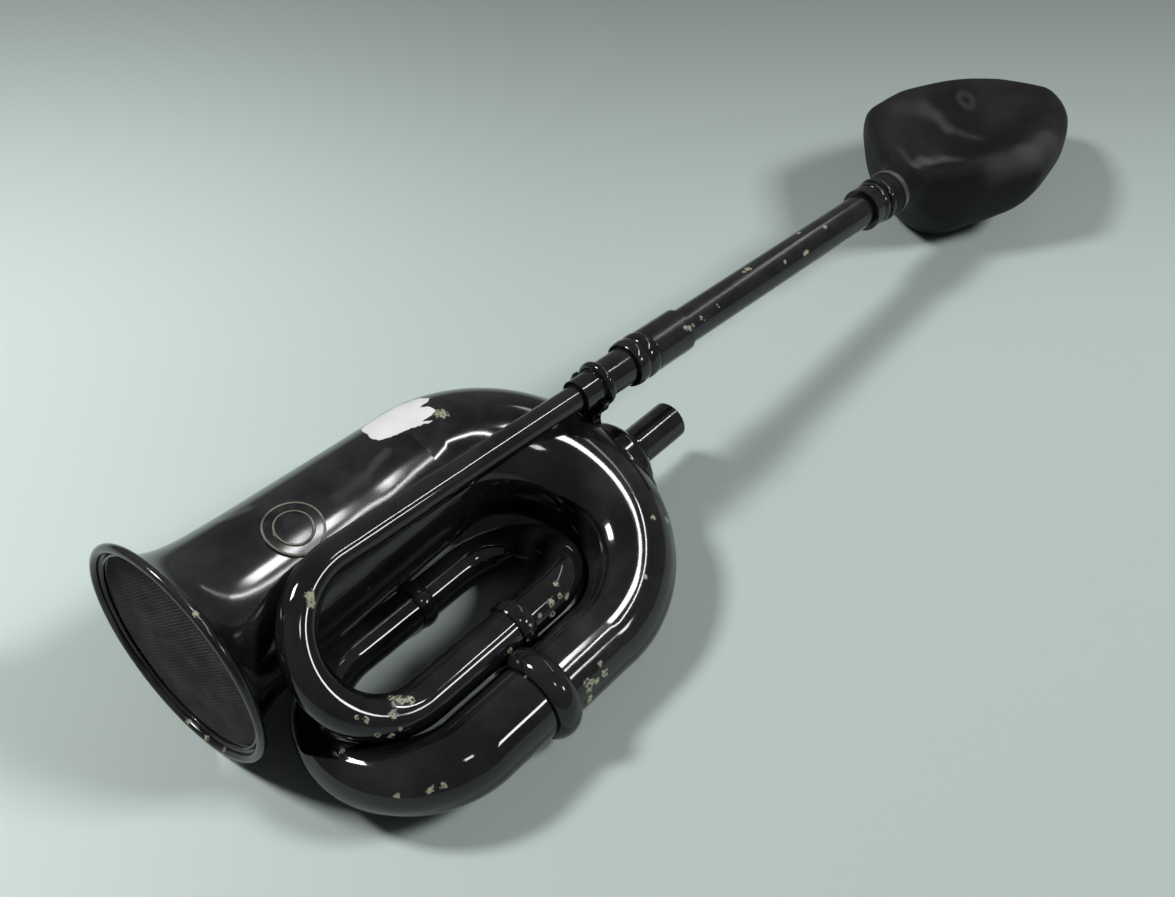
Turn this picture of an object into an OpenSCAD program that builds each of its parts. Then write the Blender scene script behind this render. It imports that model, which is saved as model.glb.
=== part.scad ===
// Coiled bulb horn, lying on its bell rim, its big bend and its rubber bulb.
// The horn is drawn about its bell axis: X runs from the bell mouth to the bulb,
// the coil lies on the -Y side, and rest() lays the whole horn on the ground.

/* [Bell] */
// Radius of the rolled rim's centre line
rim_r = 51; // [46:0.5:60]
// Radius of the rolled rim's round section
rim_bead_r = 2; // [1.8:0.1:3]
// Length of the bell from mouth to big bend
bell_len = 128; // [122:1:132]
// Outer radius of the bell cone just behind the flare
bell_body_r = 38; // [34:0.5:42]
// Outer radius of the bell where it meets the big bend
bell_small_r = 32.6; // [30:0.2:33]
// Length over which the flare fades into the cone
flare_len = 9; // [6:0.5:14]
// Sheet thickness of the bell and tubes
wall = 0.8; // [0.6:0.1:1.2]
// Length of the soldered lap inside the big bend
bell_lap = 7; // [4:0.5:8]
// Radius of the wire in the rolled rim
rim_wire_r = 1.15; // [0.8:0.05:1.2]

/* [Gauze] */
// Distance of the gauze behind the rim
gauze_depth = 1.6; // [1.4:0.1:4]
// Thickness of the gauze
gauze_t = 0.6; // [0.4:0.1:1]
// Spacing of the gauze wires
gauze_pitch = 5; // [4.6:0.1:5.2]
// Width of a gauze wire
gauze_wire = 1.2; // [1.2:0.1:1.6]
// Width of the spring ring that holds the gauze
gauze_ring_w = 1; // [0.8:0.1:2]
// Thickness of the spring ring
gauze_ring_t = 0.8; // [0.6:0.1:1.2]

/* [Badge] */
// Distance of the badge from the mouth
badge_x = 58; // [50:1:80]
// Radius of the badge
badge_r = 13; // [8:0.5:16]
// Thickness of the badge plate
badge_t = 0.8; // [0.5:0.1:1.5]
// Height of the rings on the badge
badge_ring_h = 0.5; // [0.3:0.1:1]
// Width of the rings on the badge
badge_ring_w = 1.1; // [0.6:0.1:2]
// Radius of the inner ring on the badge
badge_inner_r = 8.6; // [5:0.2:9]

/* [Coil] */
// Centre-line radius of the big bend
big_bend_r = 54.65; // [54.5:0.05:57]
// Place of the big bend's centre along the bell axis
big_bend_x = 136; // [135:0.5:140]
// Outer radius of the big bend where it ends
big_end_r = 17.9; // [17:0.1:18]
// Outer radius of the lower tube
lower_tube_r = 17.2; // [16:0.1:17.4]
// Outer radius of the inner bend and the tubes beside it
inner_tube_r = 10; // [9:0.1:10.2]
// Inner tube's place across the horn
inner_y = -37.5; // [-40:0.5:-37]
// Inner tube's place in height
inner_z = -27; // [-28:0.5:-26]
// Upper tube's place across the horn
upper_y = -82; // [-83:0.5:-80]
// Upper tube's place in height
upper_z = 8.5; // [8:0.5:11]
// Stem's place across the horn, at the small bend
stem_y = -22.5; // [-26:0.5:-20]
// Stem's place in height, at the small bend
stem_z = 42.5; // [42:0.5:46]
// Place of the rear bend's centre along the horn
rear_bend_x = 62; // [61:0.5:70]
// Place of the inner bend's centre along the horn
inner_bend_x = 127; // [118:0.5:127]
// Place of the small bend's centre along the horn
small_bend_x = 57; // [52:0.5:58]
// Angle by which the stem closes in on the upper tube
stem_splay = 3.2; // [1:0.1:5]
// Outer radius of the stem as it leaves the small bend
stem_root_r = 7.5; // [7:0.1:8]
// Outer radius of the stem's far end
stem_end_r = 6; // [5.5:0.1:6.5]

/* [Ferrules] */
// Place of the big bend's ferrule along the horn
big_ferrule_x = 97.5; // [92:0.5:97.5]
// Width of the big bend's ferrule
big_ferrule_w = 13; // [10:0.5:13]
// Height of the big ferrule's bead above its sleeve
big_bead_h = 3.2; // [2:0.1:4]
// Place of the inner tube's ferrule along the horn
inner_ferrule_x = 100.5; // [92:0.5:112]
// Place of the upper tube's ferrule along the horn
upper_ferrule_x = 108.5; // [108.5:0.5:114]
// Width of the two small ferrules
small_ferrule_w = 8; // [6:0.5:8]
// Height of the small ferrules' beads above their sleeves
small_bead_h = 1; // [0.6:0.1:1.4]
// Wall of the ferrules
ferrule_wall = 0.7; // [0.6:0.1:1]
// Gap between the tube ends inside a ferrule
tube_end_gap = 0.4; // [0.2:0.1:1]

/* [Stem fittings] */
// Length of the stem's straight taper
stem_taper_len = 130; // [110:1:132]
// Distance along the stem to the collar
collar_s = 137.5; // [135:0.5:140]
// Length of the collar's sleeve
collar_len = 16.5; // [16:0.5:20]
// Outer radius of the collar's sleeve
collar_r = 8; // [7.4:0.1:9]
// Outer radius of the collar's bead
collar_bead_r = 10.9; // [9.5:0.1:12]
// Width of the collar's bead
collar_bead_w = 5; // [5:0.2:6.4]
// Width of the beads on the union
bead_w = 7; // [5:0.2:7.6]
// Outer radius of the reed housing
housing_r = 8.9; // [8.5:0.05:8.9]
// Length of the reed housing
housing_len = 39; // [36:0.5:39]
// Length of the seat that takes the stem's end
stem_seat = 8; // [6:0.5:10]
// Radius of the bore that takes the reed
reed_bore_r = 6.9; // [6.6:0.05:7.4]
// Distance from the housing's start to its ring
housing_ring_at = 16; // [14:0.5:17]
// Outer radius of the two union rings
union_ring_r = 11.3; // [11:0.1:12]
// Outer radius of the neck socket
socket_r = 10.8; // [10.6:0.1:11.2]
// Length of the neck socket
socket_len = 31; // [28:0.5:36]
// Depth that the neck tube enters the socket
neck_seat = 14; // [10:0.5:16]
// Outer radius of the neck tube
neck_r = 9; // [8.6:0.1:9.6]
// Length of the neck tube
neck_len = 178; // [120:1:240]

/* [Bracket and spigot] */
// Distance from the collar's start to the web
web_at = 7.5; // [4:0.5:9]
// Thickness of the web under the collar
web_t = 6; // [3:0.5:8]
// Width of the web
web_w = 21; // [16:0.5:24]
// Depth of the hollow in each side of the web
web_waist = 2; // [0.5:0.5:4]
// Radius of those hollows
web_hollow_r = 9; // [7:0.5:12]
// Place of the boss and the spigot across the horn
spigot_y = -53.5; // [-58:0.5:-50]
// Radius of the boss on the big bend
boss_r = 18; // [14:0.5:20]
// Height of each step of the boss
boss_step = 2.8; // [2:0.2:4]
// Radius of the mounting spigot
spigot_r = 9.5; // [7:0.1:11]
// Free length of the mounting spigot
spigot_len = 30.5; // [20:0.5:40]
// Radius of the spigot's tenon
tenon_r = 6; // [4:0.1:6.4]
// Length of the spigot's tenon
tenon_len = 5; // [3:0.5:5.5]

/* [Bulb] */
// Length of the sleeve that joins the neck tube
bulb_sleeve = 13; // [10:0.5:16]
// Outer radius of that sleeve
bulb_sleeve_r = 11.8; // [10.6:0.1:12.5]
// Length of the spigot inside the rubber
bulb_spigot_len = 20; // [14:0.5:24]
// Outer radius of that spigot
bulb_spigot_r = 8.6; // [8.2:0.1:9.4]
// Wall of the rubber
rubber_wall = 3; // [2.2:0.1:3.5]
// Length of the rubber bulb with its neck
bulb_len = 175; // [150:1:190]
// Length of the rubber bulb's straight neck
rubber_neck_len = 22; // [16:0.5:26]
// Reach of the bulb to its left side, seen from the neck
bulb_left_r = 56; // [44:0.5:60]
// Distance of that reach from the start of the rubber
bulb_left_at = 66; // [55:1:100]
// Reach of the bulb to its right side
bulb_right_r = 47; // [44:0.5:60]
// Distance of that reach from the start of the rubber
bulb_right_at = 88; // [55:1:100]
// Reach of the bulb below the neck's line
bulb_under_r = 46.4; // [40:0.1:50]
// Distance of that reach from the start of the rubber
bulb_under_at = 56; // [50:1:100]
// Height that the bulb's upper side would have, had it not fallen in
bulb_top_r = 32; // [28:0.5:50]
// Distance of that height from the start of the rubber
bulb_top_at = 87; // [55:1:100]
// Depth by which the upper side has fallen in
dish_depth = 30; // [10:0.5:34]
// Width of the band round the rubber neck
band_w = 4; // [2:0.2:5]
// Thickness of that band
band_t = 0.9; // [0.6:0.1:1.4]

/* [Reed] */
// Radius of the shallot's trough
shallot_r = 5.2; // [4.6:0.1:5.4]
// Length of the shallot's plug
shallot_plug = 9; // [7:0.5:10]
// Length of the shallot's trough
shallot_len = 32; // [28:0.5:36]
// Height of the shallot's flat face above its axis
face_y = 1; // [0.5:0.1:1.5]
// Width of the slot in the shallot
slot_w = 3.2; // [2.4:0.1:3.4]
// Width of the tongue
tongue_w = 6; // [5:0.1:6.4]
// Thickness of the tongue
tongue_t = 0.3; // [0.2:0.05:0.4]
// Length of the tongue
tongue_len = 27; // [24:0.5:27.5]
// Angle at which the tongue stands off the face at rest
tongue_lift = 1.7; // [1.6:0.1:2]
// Length of the clamp over the tongue's root
clamp_len = 5; // [4:0.2:5.4]
// Thickness of the clamp
clamp_t = 1.2; // [1:0.1:1.6]
// Radius of the clamp screws' shanks
screw_r = 0.7; // [0.5:0.05:0.8]
// Radius of the clamp screws' heads
screw_head_r = 1.25; // [1:0.05:1.4]

/* [Resting] */
// Roll of the horn towards its coil as it lies
rest_roll = 13.73; // [8:0.01:20]
// Slope of the bell axis down towards the bulb
rest_pitch = 2.98; // [0:0.01:6]

/* [Hidden] */
$fn = 96;

// Clearances: pushed-on fits, soldered fits and the tongue's running room
fit = 0.05;
seat_gap = 0.1;
tube_room = 0.3;
tongue_room = 0.2;
overshoot = 1;

// Where the horn's frame lies over the ground under its middle
rest_x = -302.6;
rest_y = 37.45;
rest_z = rim_r * cos(rest_pitch) + rim_bead_r;

// Legs of the coil, as [y, z] places across the horn
bell_leg = [0, 0];
lower_leg = [-2 * big_bend_r, 0];
inner_leg = [inner_y, inner_z];
upper_leg = [upper_y, upper_z];
stem_leg = [stem_y, stem_z];

// Half the distance between two legs, and the tilt of the plane through them
function bend_radius(a, b) = norm(b - a) / 2;
function plane_tilt(a, b) = atan2(b[1] - a[1], b[0] - a[0]);
rear_bend_r = bend_radius(lower_leg, inner_leg);
inner_bend_r = bend_radius(inner_leg, upper_leg);
small_bend_r = bend_radius(upper_leg, stem_leg);

// Faces round a swept tube and steps along a bend
tube_sides = 36;
bend_steps = 22;

// Bell profile: a cone with a flare that dies away behind the rim
flare_h = rim_r - bell_body_r - wall / 2;
flare_steps = 14;
function bell_radius(s) = bell_small_r + (bell_body_r - bell_small_r) * (1 - s / bell_len)
    + flare_h * exp(-s / flare_len);
bell_stations = concat([for (i = [0 : flare_steps]) 4 * flare_len * pow(i / flare_steps, 1.5)], [bell_len]);

// Where the union's pieces lie along the stem
housing_s = collar_s + collar_len + fit;
housing_ring_s = housing_s + housing_ring_at;
socket_s = housing_ring_s + bead_w + seat_gap;
socket_neck_r = (housing_r + fit + socket_r) / 2;
neck_s = socket_s + socket_len - neck_seat;
stem_end_s = housing_s + stem_seat - tube_end_gap;
neck_end_s = neck_s + neck_len;

// Where the bulb's pieces lie along the stem
bulb_ferrule_s = neck_end_s - bulb_sleeve + wall;
bulb_flange_w = 4;
bulb_flange_r = bulb_sleeve_r + 0.6;
bulb_flange_base_r = bulb_flange_r - 1;
rubber_s = neck_end_s + wall + bulb_flange_w + seat_gap;
rubber_bore_r = (bulb_spigot_r + fit) / cos(180 / tube_sides);
rubber_neck_r = rubber_bore_r + rubber_wall;
band_s = rubber_s + rubber_neck_len / 3;
bulb_steps = 26;
bulb_root = rubber_neck_len - 6;
bulb_end_wall = rubber_wall + 1;
shoulder_power = 1.15;
tail_power = 1.65;
blend_power = 4;
dish_power = 4;
neck_fade = 60;
bulb_droop = -0.03;

// Where the reed's pieces lie along the stem
shallot_s = housing_s + stem_seat + 1;
trough_s = shallot_s + shallot_plug;
clamp_setback = 1.5;
tongue_hinge_s = trough_s + clamp_setback + clamp_len / 2;
tongue_root = clamp_len / 2;
air_bore_r = 3;
tongue_y = face_y + tongue_room;
clamp_y = tongue_y + tongue_t + tongue_room;
screw_x = 1.9;
screw_head_h = 1;
screw_depth = 2.4;
slot_start = shallot_plug + clamp_len + 2;
slot_end = shallot_plug + shallot_len - 1 - 2 * wall;
air_bore_len = slot_start + 2;

// Bracket and spigot
spigot_x = big_bend_x + big_bend_r + (bell_small_r + big_end_r) / 2;
boss_top = spigot_x + 2 * boss_step;
boss_top_r = spigot_r + 2.5;
boss_ring_r = [boss_r, (boss_r + boss_top_r) / 2, boss_top_r];
web_s = collar_s + web_at;
collar_bead_s = collar_s + collar_len - collar_bead_w;

// Lays the horn on the ground
module rest() {
    translate([rest_x, rest_y, rest_z])
        rotate([rest_roll, rest_pitch, 0])
            children();
}

// Stands a shape drawn along Z on the horn's X axis at a leg
module on_leg(leg, x) {
    translate([x, leg[0], leg[1]])
        rotate([0, 90, 0])
            children();
}

// Tilts a bend that is drawn flat, from one leg towards the next
module in_bend_plane(a, tilt) {
    translate([0, a[0], a[1]])
        rotate([tilt, 0, 0])
            children();
}

// The stem's own line: X runs along the stem from the small bend's end
module stem_line() {
    in_bend_plane(upper_leg, plane_tilt(upper_leg, stem_leg))
        translate([small_bend_x, small_bend_r, 0])
            rotate([0, 0, -stem_splay])
                translate([0, small_bend_r, 0])
                    children();
}

// Stands a shape drawn along Z on the stem's line, s along it
module on_stem(s) {
    stem_line()
        translate([s, 0, 0])
            rotate([0, 90, 0])
                children();
}

// Stations of a bend: [x, y, heading, radius], entered along dir and turning to side
function bend_stations(x, r, dir, side, sweep, r0, r1) = [
    for (i = [0 : bend_steps])
        let (t = sweep * i / bend_steps)
        [x + dir * r * sin(t), side * r * (1 - cos(t)), atan2(side * sin(t), dir * cos(t)),
            r0 + (r1 - r0) * i / bend_steps]
];

// One ring of points round a station
function station_ring(st, r) = [
    for (k = [0 : tube_sides - 1])
        let (a = 360 * k / tube_sides)
        [st[0] - r * cos(a) * sin(st[2]), st[1] + r * cos(a) * cos(st[2]), r * sin(a)]
];

// Two triangles of one face between ring points
function quad(a, b, c, d) = [[a, b, c], [a, c, d]];

// Faces of a hollow sweep whose outer rings come before its inner rings
function sweep_faces(rings) = [
    for (k = [0 : tube_sides - 1])
        let (j = (k + 1) % tube_sides, far = (rings - 1) * tube_sides, bore = rings * tube_sides)
        each concat(
            [for (i = [0 : rings - 2])
                let (a = i * tube_sides, b = a + tube_sides)
                each concat(quad(a + k, b + k, b + j, a + j),
                    quad(bore + a + j, bore + b + j, bore + b + k, bore + a + k))],
            quad(k, j, bore + j, bore + k),
            quad(far + j, far + k, bore + far + k, bore + far + j))
];

// Solid sweep's faces, closed by one flat face at each end
function solid_faces(rings) = concat(
    [for (k = [0 : tube_sides - 1])
        let (j = (k + 1) % tube_sides)
        each [for (i = [0 : rings - 2])
            let (a = i * tube_sides, b = a + tube_sides)
            each quad(a + k, b + k, b + j, a + j)]],
    [[for (k = [0 : tube_sides - 1]) k]],
    [[for (k = [tube_sides - 1 : -1 : 0]) (rings - 1) * tube_sides + k]]);

// A bent tube with a bore, swept along its stations
module bent_tube(stations) {
    outer = [for (st = stations) each station_ring(st, st[3])];
    inner = [for (st = stations) each station_ring(st, st[3] - wall)];
    polyhedron(concat(outer, inner), sweep_faces(len(stations)));
}

// The space that a bent tube takes up, with some room round it
module bent_space(stations, room) {
    polyhedron([for (st = stations) each station_ring(st, st[3] + room)], solid_faces(len(stations)));
}

// A ring about Z with a bore
module ring(r, bore_r, h) {
    difference() {
        cylinder(r = r, h = h);
        translate([0, 0, -overshoot])
            cylinder(r = bore_r, h = h + 2 * overshoot);
    }
}

// A half-round bead about Z, standing on radius r
module bead(r, top_r, w) {
    translate([0, 0, w / 2])
        rotate_extrude()
            translate([r, 0])
                intersection() {
                    scale_to_bead(top_r - r, w);
                    translate([0, -w])
                        square([w, 2 * w]);
                }
}

// Circle segment of height h and chord w, with its chord on the Y axis
module scale_to_bead(h, w) {
    arc_r = (h * h + w * w / 4) / (2 * h);
    translate([h - arc_r, 0])
        circle(r = arc_r);
}

// Beaded sleeve, centred on Z = 0; tube a enters from below and tube b from above
module tube_ferrule(a_r, b_r, bead_h, w) {
    sleeve_r = max(a_r, b_r) + fit + ferrule_wall;
    translate([0, 0, -w / 2])
        difference() {
            union() {
                cylinder(r = sleeve_r, h = w);
                bead(sleeve_r - seat_gap, sleeve_r + bead_h, w);
            }
            translate([0, 0, -overshoot])
                cylinder(r = a_r + fit, h = w / 2 + overshoot);
            translate([0, 0, w / 2 - fit])
                cylinder(r = b_r + fit, h = w / 2 + fit + overshoot);
        }
}

// Space inside the bell's outer face, grown by some height
module bell_space(grow) {
    rotate_extrude()
        polygon(concat([[0, 0]], [for (s = bell_stations) [bell_radius(s) + grow, s]], [[0, bell_len]]));
}

// Big bend: from the bell round to the lower tube
big_bend_stations = concat(
    [[bell_len, 0, 0, bell_small_r]],
    bend_stations(big_bend_x, big_bend_r, 1, -1, 180, bell_small_r, big_end_r),
    [[big_ferrule_x + tube_end_gap / 2, -2 * big_bend_r, 180, big_end_r]]);

// Lower loop: lower tube, rear bend and inner tube
lower_loop_stations = concat(
    [[big_ferrule_x - tube_end_gap / 2, 0, 180, lower_tube_r]],
    bend_stations(rear_bend_x, rear_bend_r, -1, 1, 180, lower_tube_r, inner_tube_r),
    [[inner_ferrule_x - tube_end_gap / 2, 2 * rear_bend_r, 0, inner_tube_r]]);

// Upper loop: upper tube, small bend and stem
stem_dir = [cos(stem_splay), -sin(stem_splay)];
stem_root = [small_bend_x + small_bend_r * sin(stem_splay), small_bend_r * (1 + cos(stem_splay))];
function stem_station(s, r) = [stem_root[0] + s * stem_dir[0], stem_root[1] + s * stem_dir[1], -stem_splay, r];
upper_loop_stations = concat(
    [[upper_ferrule_x - tube_end_gap / 2, 0, 180, inner_tube_r]],
    bend_stations(small_bend_x, small_bend_r, -1, 1, 180 + stem_splay, inner_tube_r, stem_root_r),
    [stem_station(stem_taper_len, stem_end_r), stem_station(stem_end_s, stem_end_r)]);

module bell() {
    outer = [for (s = bell_stations) [bell_radius(s), s]];
    inner = [for (i = [len(bell_stations) - 1 : -1 : 0])
        [bell_radius(bell_stations[i]) - wall, bell_stations[i]]];
    lap_r = (bell_small_r - wall) * cos(180 / tube_sides) - fit;
    color("black")
        rest()
            on_leg(bell_leg, 0) {
                difference() {
                    union() {
                        rotate_extrude()
                            polygon(concat(outer, inner));
                        translate([0, 0, bell_len - wall])
                            ring(bell_small_r - wall / 2, lap_r - wall, wall);
                        translate([0, 0, bell_len - wall])
                            ring(lap_r, lap_r - wall, bell_lap + wall);
                        rotate_extrude()
                            translate([rim_r, 0])
                                circle(r = rim_bead_r, $fn = 32);
                    }
                    rotate_extrude()
                        translate([rim_r, 0])
                            circle(r = rim_wire_r + fit, $fn = 32);
                }
            }
}

module rim_wire() {
    color("dimgray")
        rest()
            on_leg(bell_leg, 0)
                rotate_extrude()
                    translate([rim_r, 0])
                        circle(r = rim_wire_r, $fn = 32);
}

// The gauze bears on the narrowing bell, and its ring springs in before it
gauze_r = bell_radius(gauze_depth + gauze_t) - wall - seat_gap;
module gauze_screen() {
    rows = floor(gauze_r / gauze_pitch);
    color("saddlebrown")
        rest()
            on_leg(bell_leg, gauze_depth)
                linear_extrude(gauze_t) {
                    difference() {
                        circle(r = gauze_r);
                        circle(r = gauze_r - gauze_ring_w);
                    }
                    intersection() {
                        circle(r = gauze_r - gauze_ring_w / 2);
                        union()
                            for (i = [-rows : rows]) {
                                translate([i * gauze_pitch - gauze_wire / 2, -gauze_r])
                                    square([gauze_wire, 2 * gauze_r]);
                                translate([-gauze_r, i * gauze_pitch - gauze_wire / 2])
                                    square([2 * gauze_r, gauze_wire]);
                            }
                    }
                }
}

module gauze_ring() {
    ring_r = bell_radius(gauze_depth) - wall - seat_gap;
    color("black")
        rest()
            on_leg(bell_leg, gauze_depth - gauze_ring_t - fit)
                ring(ring_r, ring_r - gauze_ring_w, gauze_ring_t);
}

// Plain round badge, bent to the bell, with two raised rings
module badge() {
    color("black")
        rest() {
            badge_layer(badge_r, 0, badge_t);
            badge_layer(badge_r, badge_r - badge_ring_w, badge_t + badge_ring_h);
            badge_layer(badge_inner_r, badge_inner_r - badge_ring_w, badge_t + badge_ring_h);
        }
}

// One round layer of the badge over the bell's skin
module badge_layer(r, hole_r, t) {
    intersection() {
        translate([badge_x, 0, 0])
            difference() {
                cylinder(r = r, h = 2 * rim_r);
                if (hole_r > 0)
                    cylinder(r = hole_r, h = 3 * rim_r, center = true);
            }
        on_leg(bell_leg, 0)
            difference() {
                bell_space(t);
                bell_space(fit);
            }
    }
}

module big_bend() {
    color("black")
        rest()
            bent_tube(big_bend_stations);
}

// The bead is filed away where the upper tube lies over it
module big_bend_ferrule() {
    color("black")
        rest()
            difference() {
                on_leg(lower_leg, big_ferrule_x)
                    tube_ferrule(lower_tube_r, big_end_r, big_bead_h, big_ferrule_w);
                on_leg(upper_leg, big_ferrule_x - big_ferrule_w)
                    cylinder(r = inner_tube_r + tube_room, h = 2 * big_ferrule_w);
            }
}

module lower_loop() {
    color("black")
        rest()
            in_bend_plane(lower_leg, plane_tilt(lower_leg, inner_leg))
                bent_tube(lower_loop_stations);
}

module inner_ferrule() {
    color("black")
        rest()
            on_leg(inner_leg, inner_ferrule_x)
                tube_ferrule(inner_tube_r, inner_tube_r, small_bead_h, small_ferrule_w);
}

// Constant tube: a half turn between two straight legs
module inner_bend() {
    leg_x = [upper_ferrule_x, inner_ferrule_x];
    color("black")
        rest()
            in_bend_plane(upper_leg, plane_tilt(upper_leg, inner_leg))
                translate([inner_bend_x, inner_bend_r, 0]) {
                    rotate([0, 0, -90])
                        rotate_extrude(angle = 180)
                            translate([inner_bend_r, 0])
                                difference() {
                                    circle(r = inner_tube_r);
                                    circle(r = inner_tube_r - wall);
                                }
                    for (i = [0, 1])
                        translate([0, (2 * i - 1) * inner_bend_r, 0])
                            rotate([0, -90, 0])
                                ring(inner_tube_r, inner_tube_r - wall, inner_bend_x - leg_x[i] - tube_end_gap / 2);
                }
}

// Filed away where the big bend's end lies under it
module upper_ferrule() {
    color("black")
        rest()
            difference() {
                on_leg(upper_leg, upper_ferrule_x)
                    tube_ferrule(inner_tube_r, inner_tube_r, small_bead_h, small_ferrule_w);
                on_leg(lower_leg, upper_ferrule_x - small_ferrule_w)
                    cylinder(r = big_end_r + seat_gap, h = 2 * small_ferrule_w);
            }
}

module upper_loop() {
    color("black")
        rest()
            in_bend_plane(upper_leg, plane_tilt(upper_leg, stem_leg))
                bent_tube(upper_loop_stations);
}

module stem_collar() {
    color("black")
        rest()
            on_stem(collar_s)
                difference() {
                    union() {
                        cylinder(r = collar_r, h = collar_len);
                        translate([0, 0, collar_len - collar_bead_w])
                            bead(collar_r - seat_gap, collar_bead_r, collar_bead_w);
                    }
                    translate([0, 0, -overshoot])
                        cylinder(r = stem_end_r + fit, h = collar_len + 2 * overshoot);
                }
}

// Web across the stem, from the collar down to the big bend, waisted on both sides
module collar_bracket() {
    depth = stem_z;
    color("black")
        rest()
            difference() {
                stem_line()
                    rotate([-plane_tilt(upper_leg, stem_leg), 0, 0])
                        translate([web_s, 0, 0])
                            rotate([90, 0, 90])
                                linear_extrude(web_t)
                                    difference() {
                                        translate([-web_w / 2, -depth])
                                            square([web_w, depth]);
                                        for (side = [-1, 1])
                                            translate([side * (web_w / 2 + web_hollow_r - web_waist),
                                                -collar_r - web_hollow_r / 2])
                                                circle(r = web_hollow_r);
                                    }
                bent_space(big_bend_stations, fit);
                translate([big_bend_x - big_bend_r, -3 * big_bend_r, -2 * depth])
                    cube([3 * big_bend_r, 4 * big_bend_r, 2 * depth]);
                on_stem(collar_s)
                    cylinder(r = collar_r + fit, h = collar_len);
                on_stem(collar_bead_s - seat_gap)
                    cylinder(r = collar_bead_r + seat_gap, h = collar_bead_w + 2 * seat_gap);
            }
}

// Stepped round boss, hollowed to sit on the big bend
module spigot_boss() {
    color("black")
        rest()
            difference() {
                on_leg([spigot_y, 0], spigot_x - boss_r / 2) {
                    for (i = [0 : 2])
                        cylinder(r = boss_ring_r[i], h = boss_r / 2 + i * boss_step);
                }
                bent_space(big_bend_stations, fit);
                on_leg([spigot_y, 0], boss_top - tenon_len - seat_gap)
                    cylinder(r = tenon_r + fit, h = tenon_len + seat_gap + overshoot);
            }
}

module mounting_spigot() {
    chamfer = spigot_r / 12;
    color("black")
        rest()
            on_leg([spigot_y, 0], boss_top) {
                translate([0, 0, -tenon_len])
                    cylinder(r = tenon_r, h = tenon_len + fit);
                translate([0, 0, fit]) {
                    cylinder(r = spigot_r, h = spigot_len - chamfer);
                    translate([0, 0, spigot_len - chamfer])
                        cylinder(r1 = spigot_r, r2 = spigot_r - chamfer, h = chamfer);
                }
            }
}

// Turned housing: stem seat, shoulder and reed bore
module reed_housing() {
    color("black")
        rest()
            on_stem(housing_s)
                difference() {
                    cylinder(r = housing_r, h = housing_len);
                    translate([0, 0, -overshoot])
                        cylinder(r = stem_end_r + fit, h = stem_seat + overshoot);
                    translate([0, 0, stem_seat - overshoot])
                        cylinder(r = stem_end_r - wall, h = 2 * overshoot + fit);
                    translate([0, 0, stem_seat + overshoot])
                        cylinder(r = reed_bore_r, h = housing_len);
                }
}

module housing_ring() {
    color("black")
        rest()
            on_stem(housing_ring_s)
                union_ring(housing_r);
}

module socket_ring() {
    color("black")
        rest()
            on_stem(socket_s)
                union_ring(socket_neck_r);
}

// Bead ring of the screwed union
module union_ring(seat_r) {
    rim = 0.6;
    difference() {
        union() {
            cylinder(r = union_ring_r - rim, h = bead_w);
            bead(union_ring_r - rim - seat_gap, union_ring_r, bead_w);
        }
        translate([0, 0, -overshoot])
            cylinder(r = seat_r + fit, h = bead_w + 2 * overshoot);
    }
}

// Socket that screws on the reed housing and takes the neck tube
module neck_socket() {
    color("black")
        rest()
            on_stem(socket_s)
                difference() {
                    union() {
                        cylinder(r = socket_neck_r, h = bead_w + 2 * fit);
                        translate([0, 0, bead_w + fit])
                            cylinder(r = socket_r, h = socket_len - bead_w - fit);
                    }
                    translate([0, 0, -overshoot])
                        cylinder(r = housing_r + fit, h = socket_len - neck_seat + overshoot - seat_gap);
                    translate([0, 0, socket_len - neck_seat - overshoot])
                        cylinder(r = neck_r - wall, h = 2 * overshoot);
                    translate([0, 0, socket_len - neck_seat - seat_gap])
                        cylinder(r = neck_r + fit, h = neck_seat + overshoot + seat_gap);
                }
}

module neck_tube() {
    color("black")
        rest()
            on_stem(neck_s)
                ring(neck_r, neck_r - wall, neck_len);
}

// Sleeve on the neck tube, a flange, and a spigot for the rubber
module bulb_ferrule() {
    spigot_z = bulb_sleeve + bulb_flange_w;
    color("black")
        rest()
            on_stem(bulb_ferrule_s)
                difference() {
                    union() {
                        cylinder(r = bulb_sleeve_r, h = bulb_sleeve + fit);
                        translate([0, 0, bulb_sleeve])
                            cylinder(r = bulb_flange_base_r, h = bulb_flange_w);
                        translate([0, 0, bulb_sleeve])
                            bead(bulb_flange_base_r - seat_gap, bulb_flange_r, bulb_flange_w);
                        translate([0, 0, spigot_z - fit])
                            cylinder(r = bulb_spigot_r, h = bulb_spigot_len + fit);
                    }
                    translate([0, 0, -overshoot])
                        cylinder(r = neck_r + fit, h = bulb_sleeve - wall + overshoot + fit);
                    translate([0, 0, -overshoot])
                        cylinder(r = bulb_spigot_r - ferrule_wall, h = spigot_z + bulb_spigot_len + 2 * overshoot);
                }
}

module bulb_band() {
    color("gray")
        rest()
            on_stem(band_s)
                ring(rubber_neck_r + fit + band_t, rubber_neck_r + fit, band_w);
}

// How far the rubber swells to one side at u from its start, widest at a given place
function swell(u, r, at) =
    let (t = u < at ? (at - u) / (at - bulb_root) : (u - at) / (bulb_len - at))
    let (n = u < at ? shoulder_power : tail_power)
    r * pow(max(0, 1 - pow(min(t, 1), n)), 1 / n);

// Share of the round neck, which fades out into the bulb
function neck_share(u) = rubber_neck_r * max(0.001, 1 - max(0, u - rubber_neck_len) / neck_fade);
function reach(u, r, at) =
    pow(pow(neck_share(u), blend_power) + pow(swell(u, r, at), blend_power), 1 / blend_power);

// How far the upper side has fallen in at u
function fall(u) =
    dish_depth * sin(180 * max(0, min(1, (u - rubber_neck_len) / (bulb_len - rubber_neck_len - bulb_end_wall))));

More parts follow.
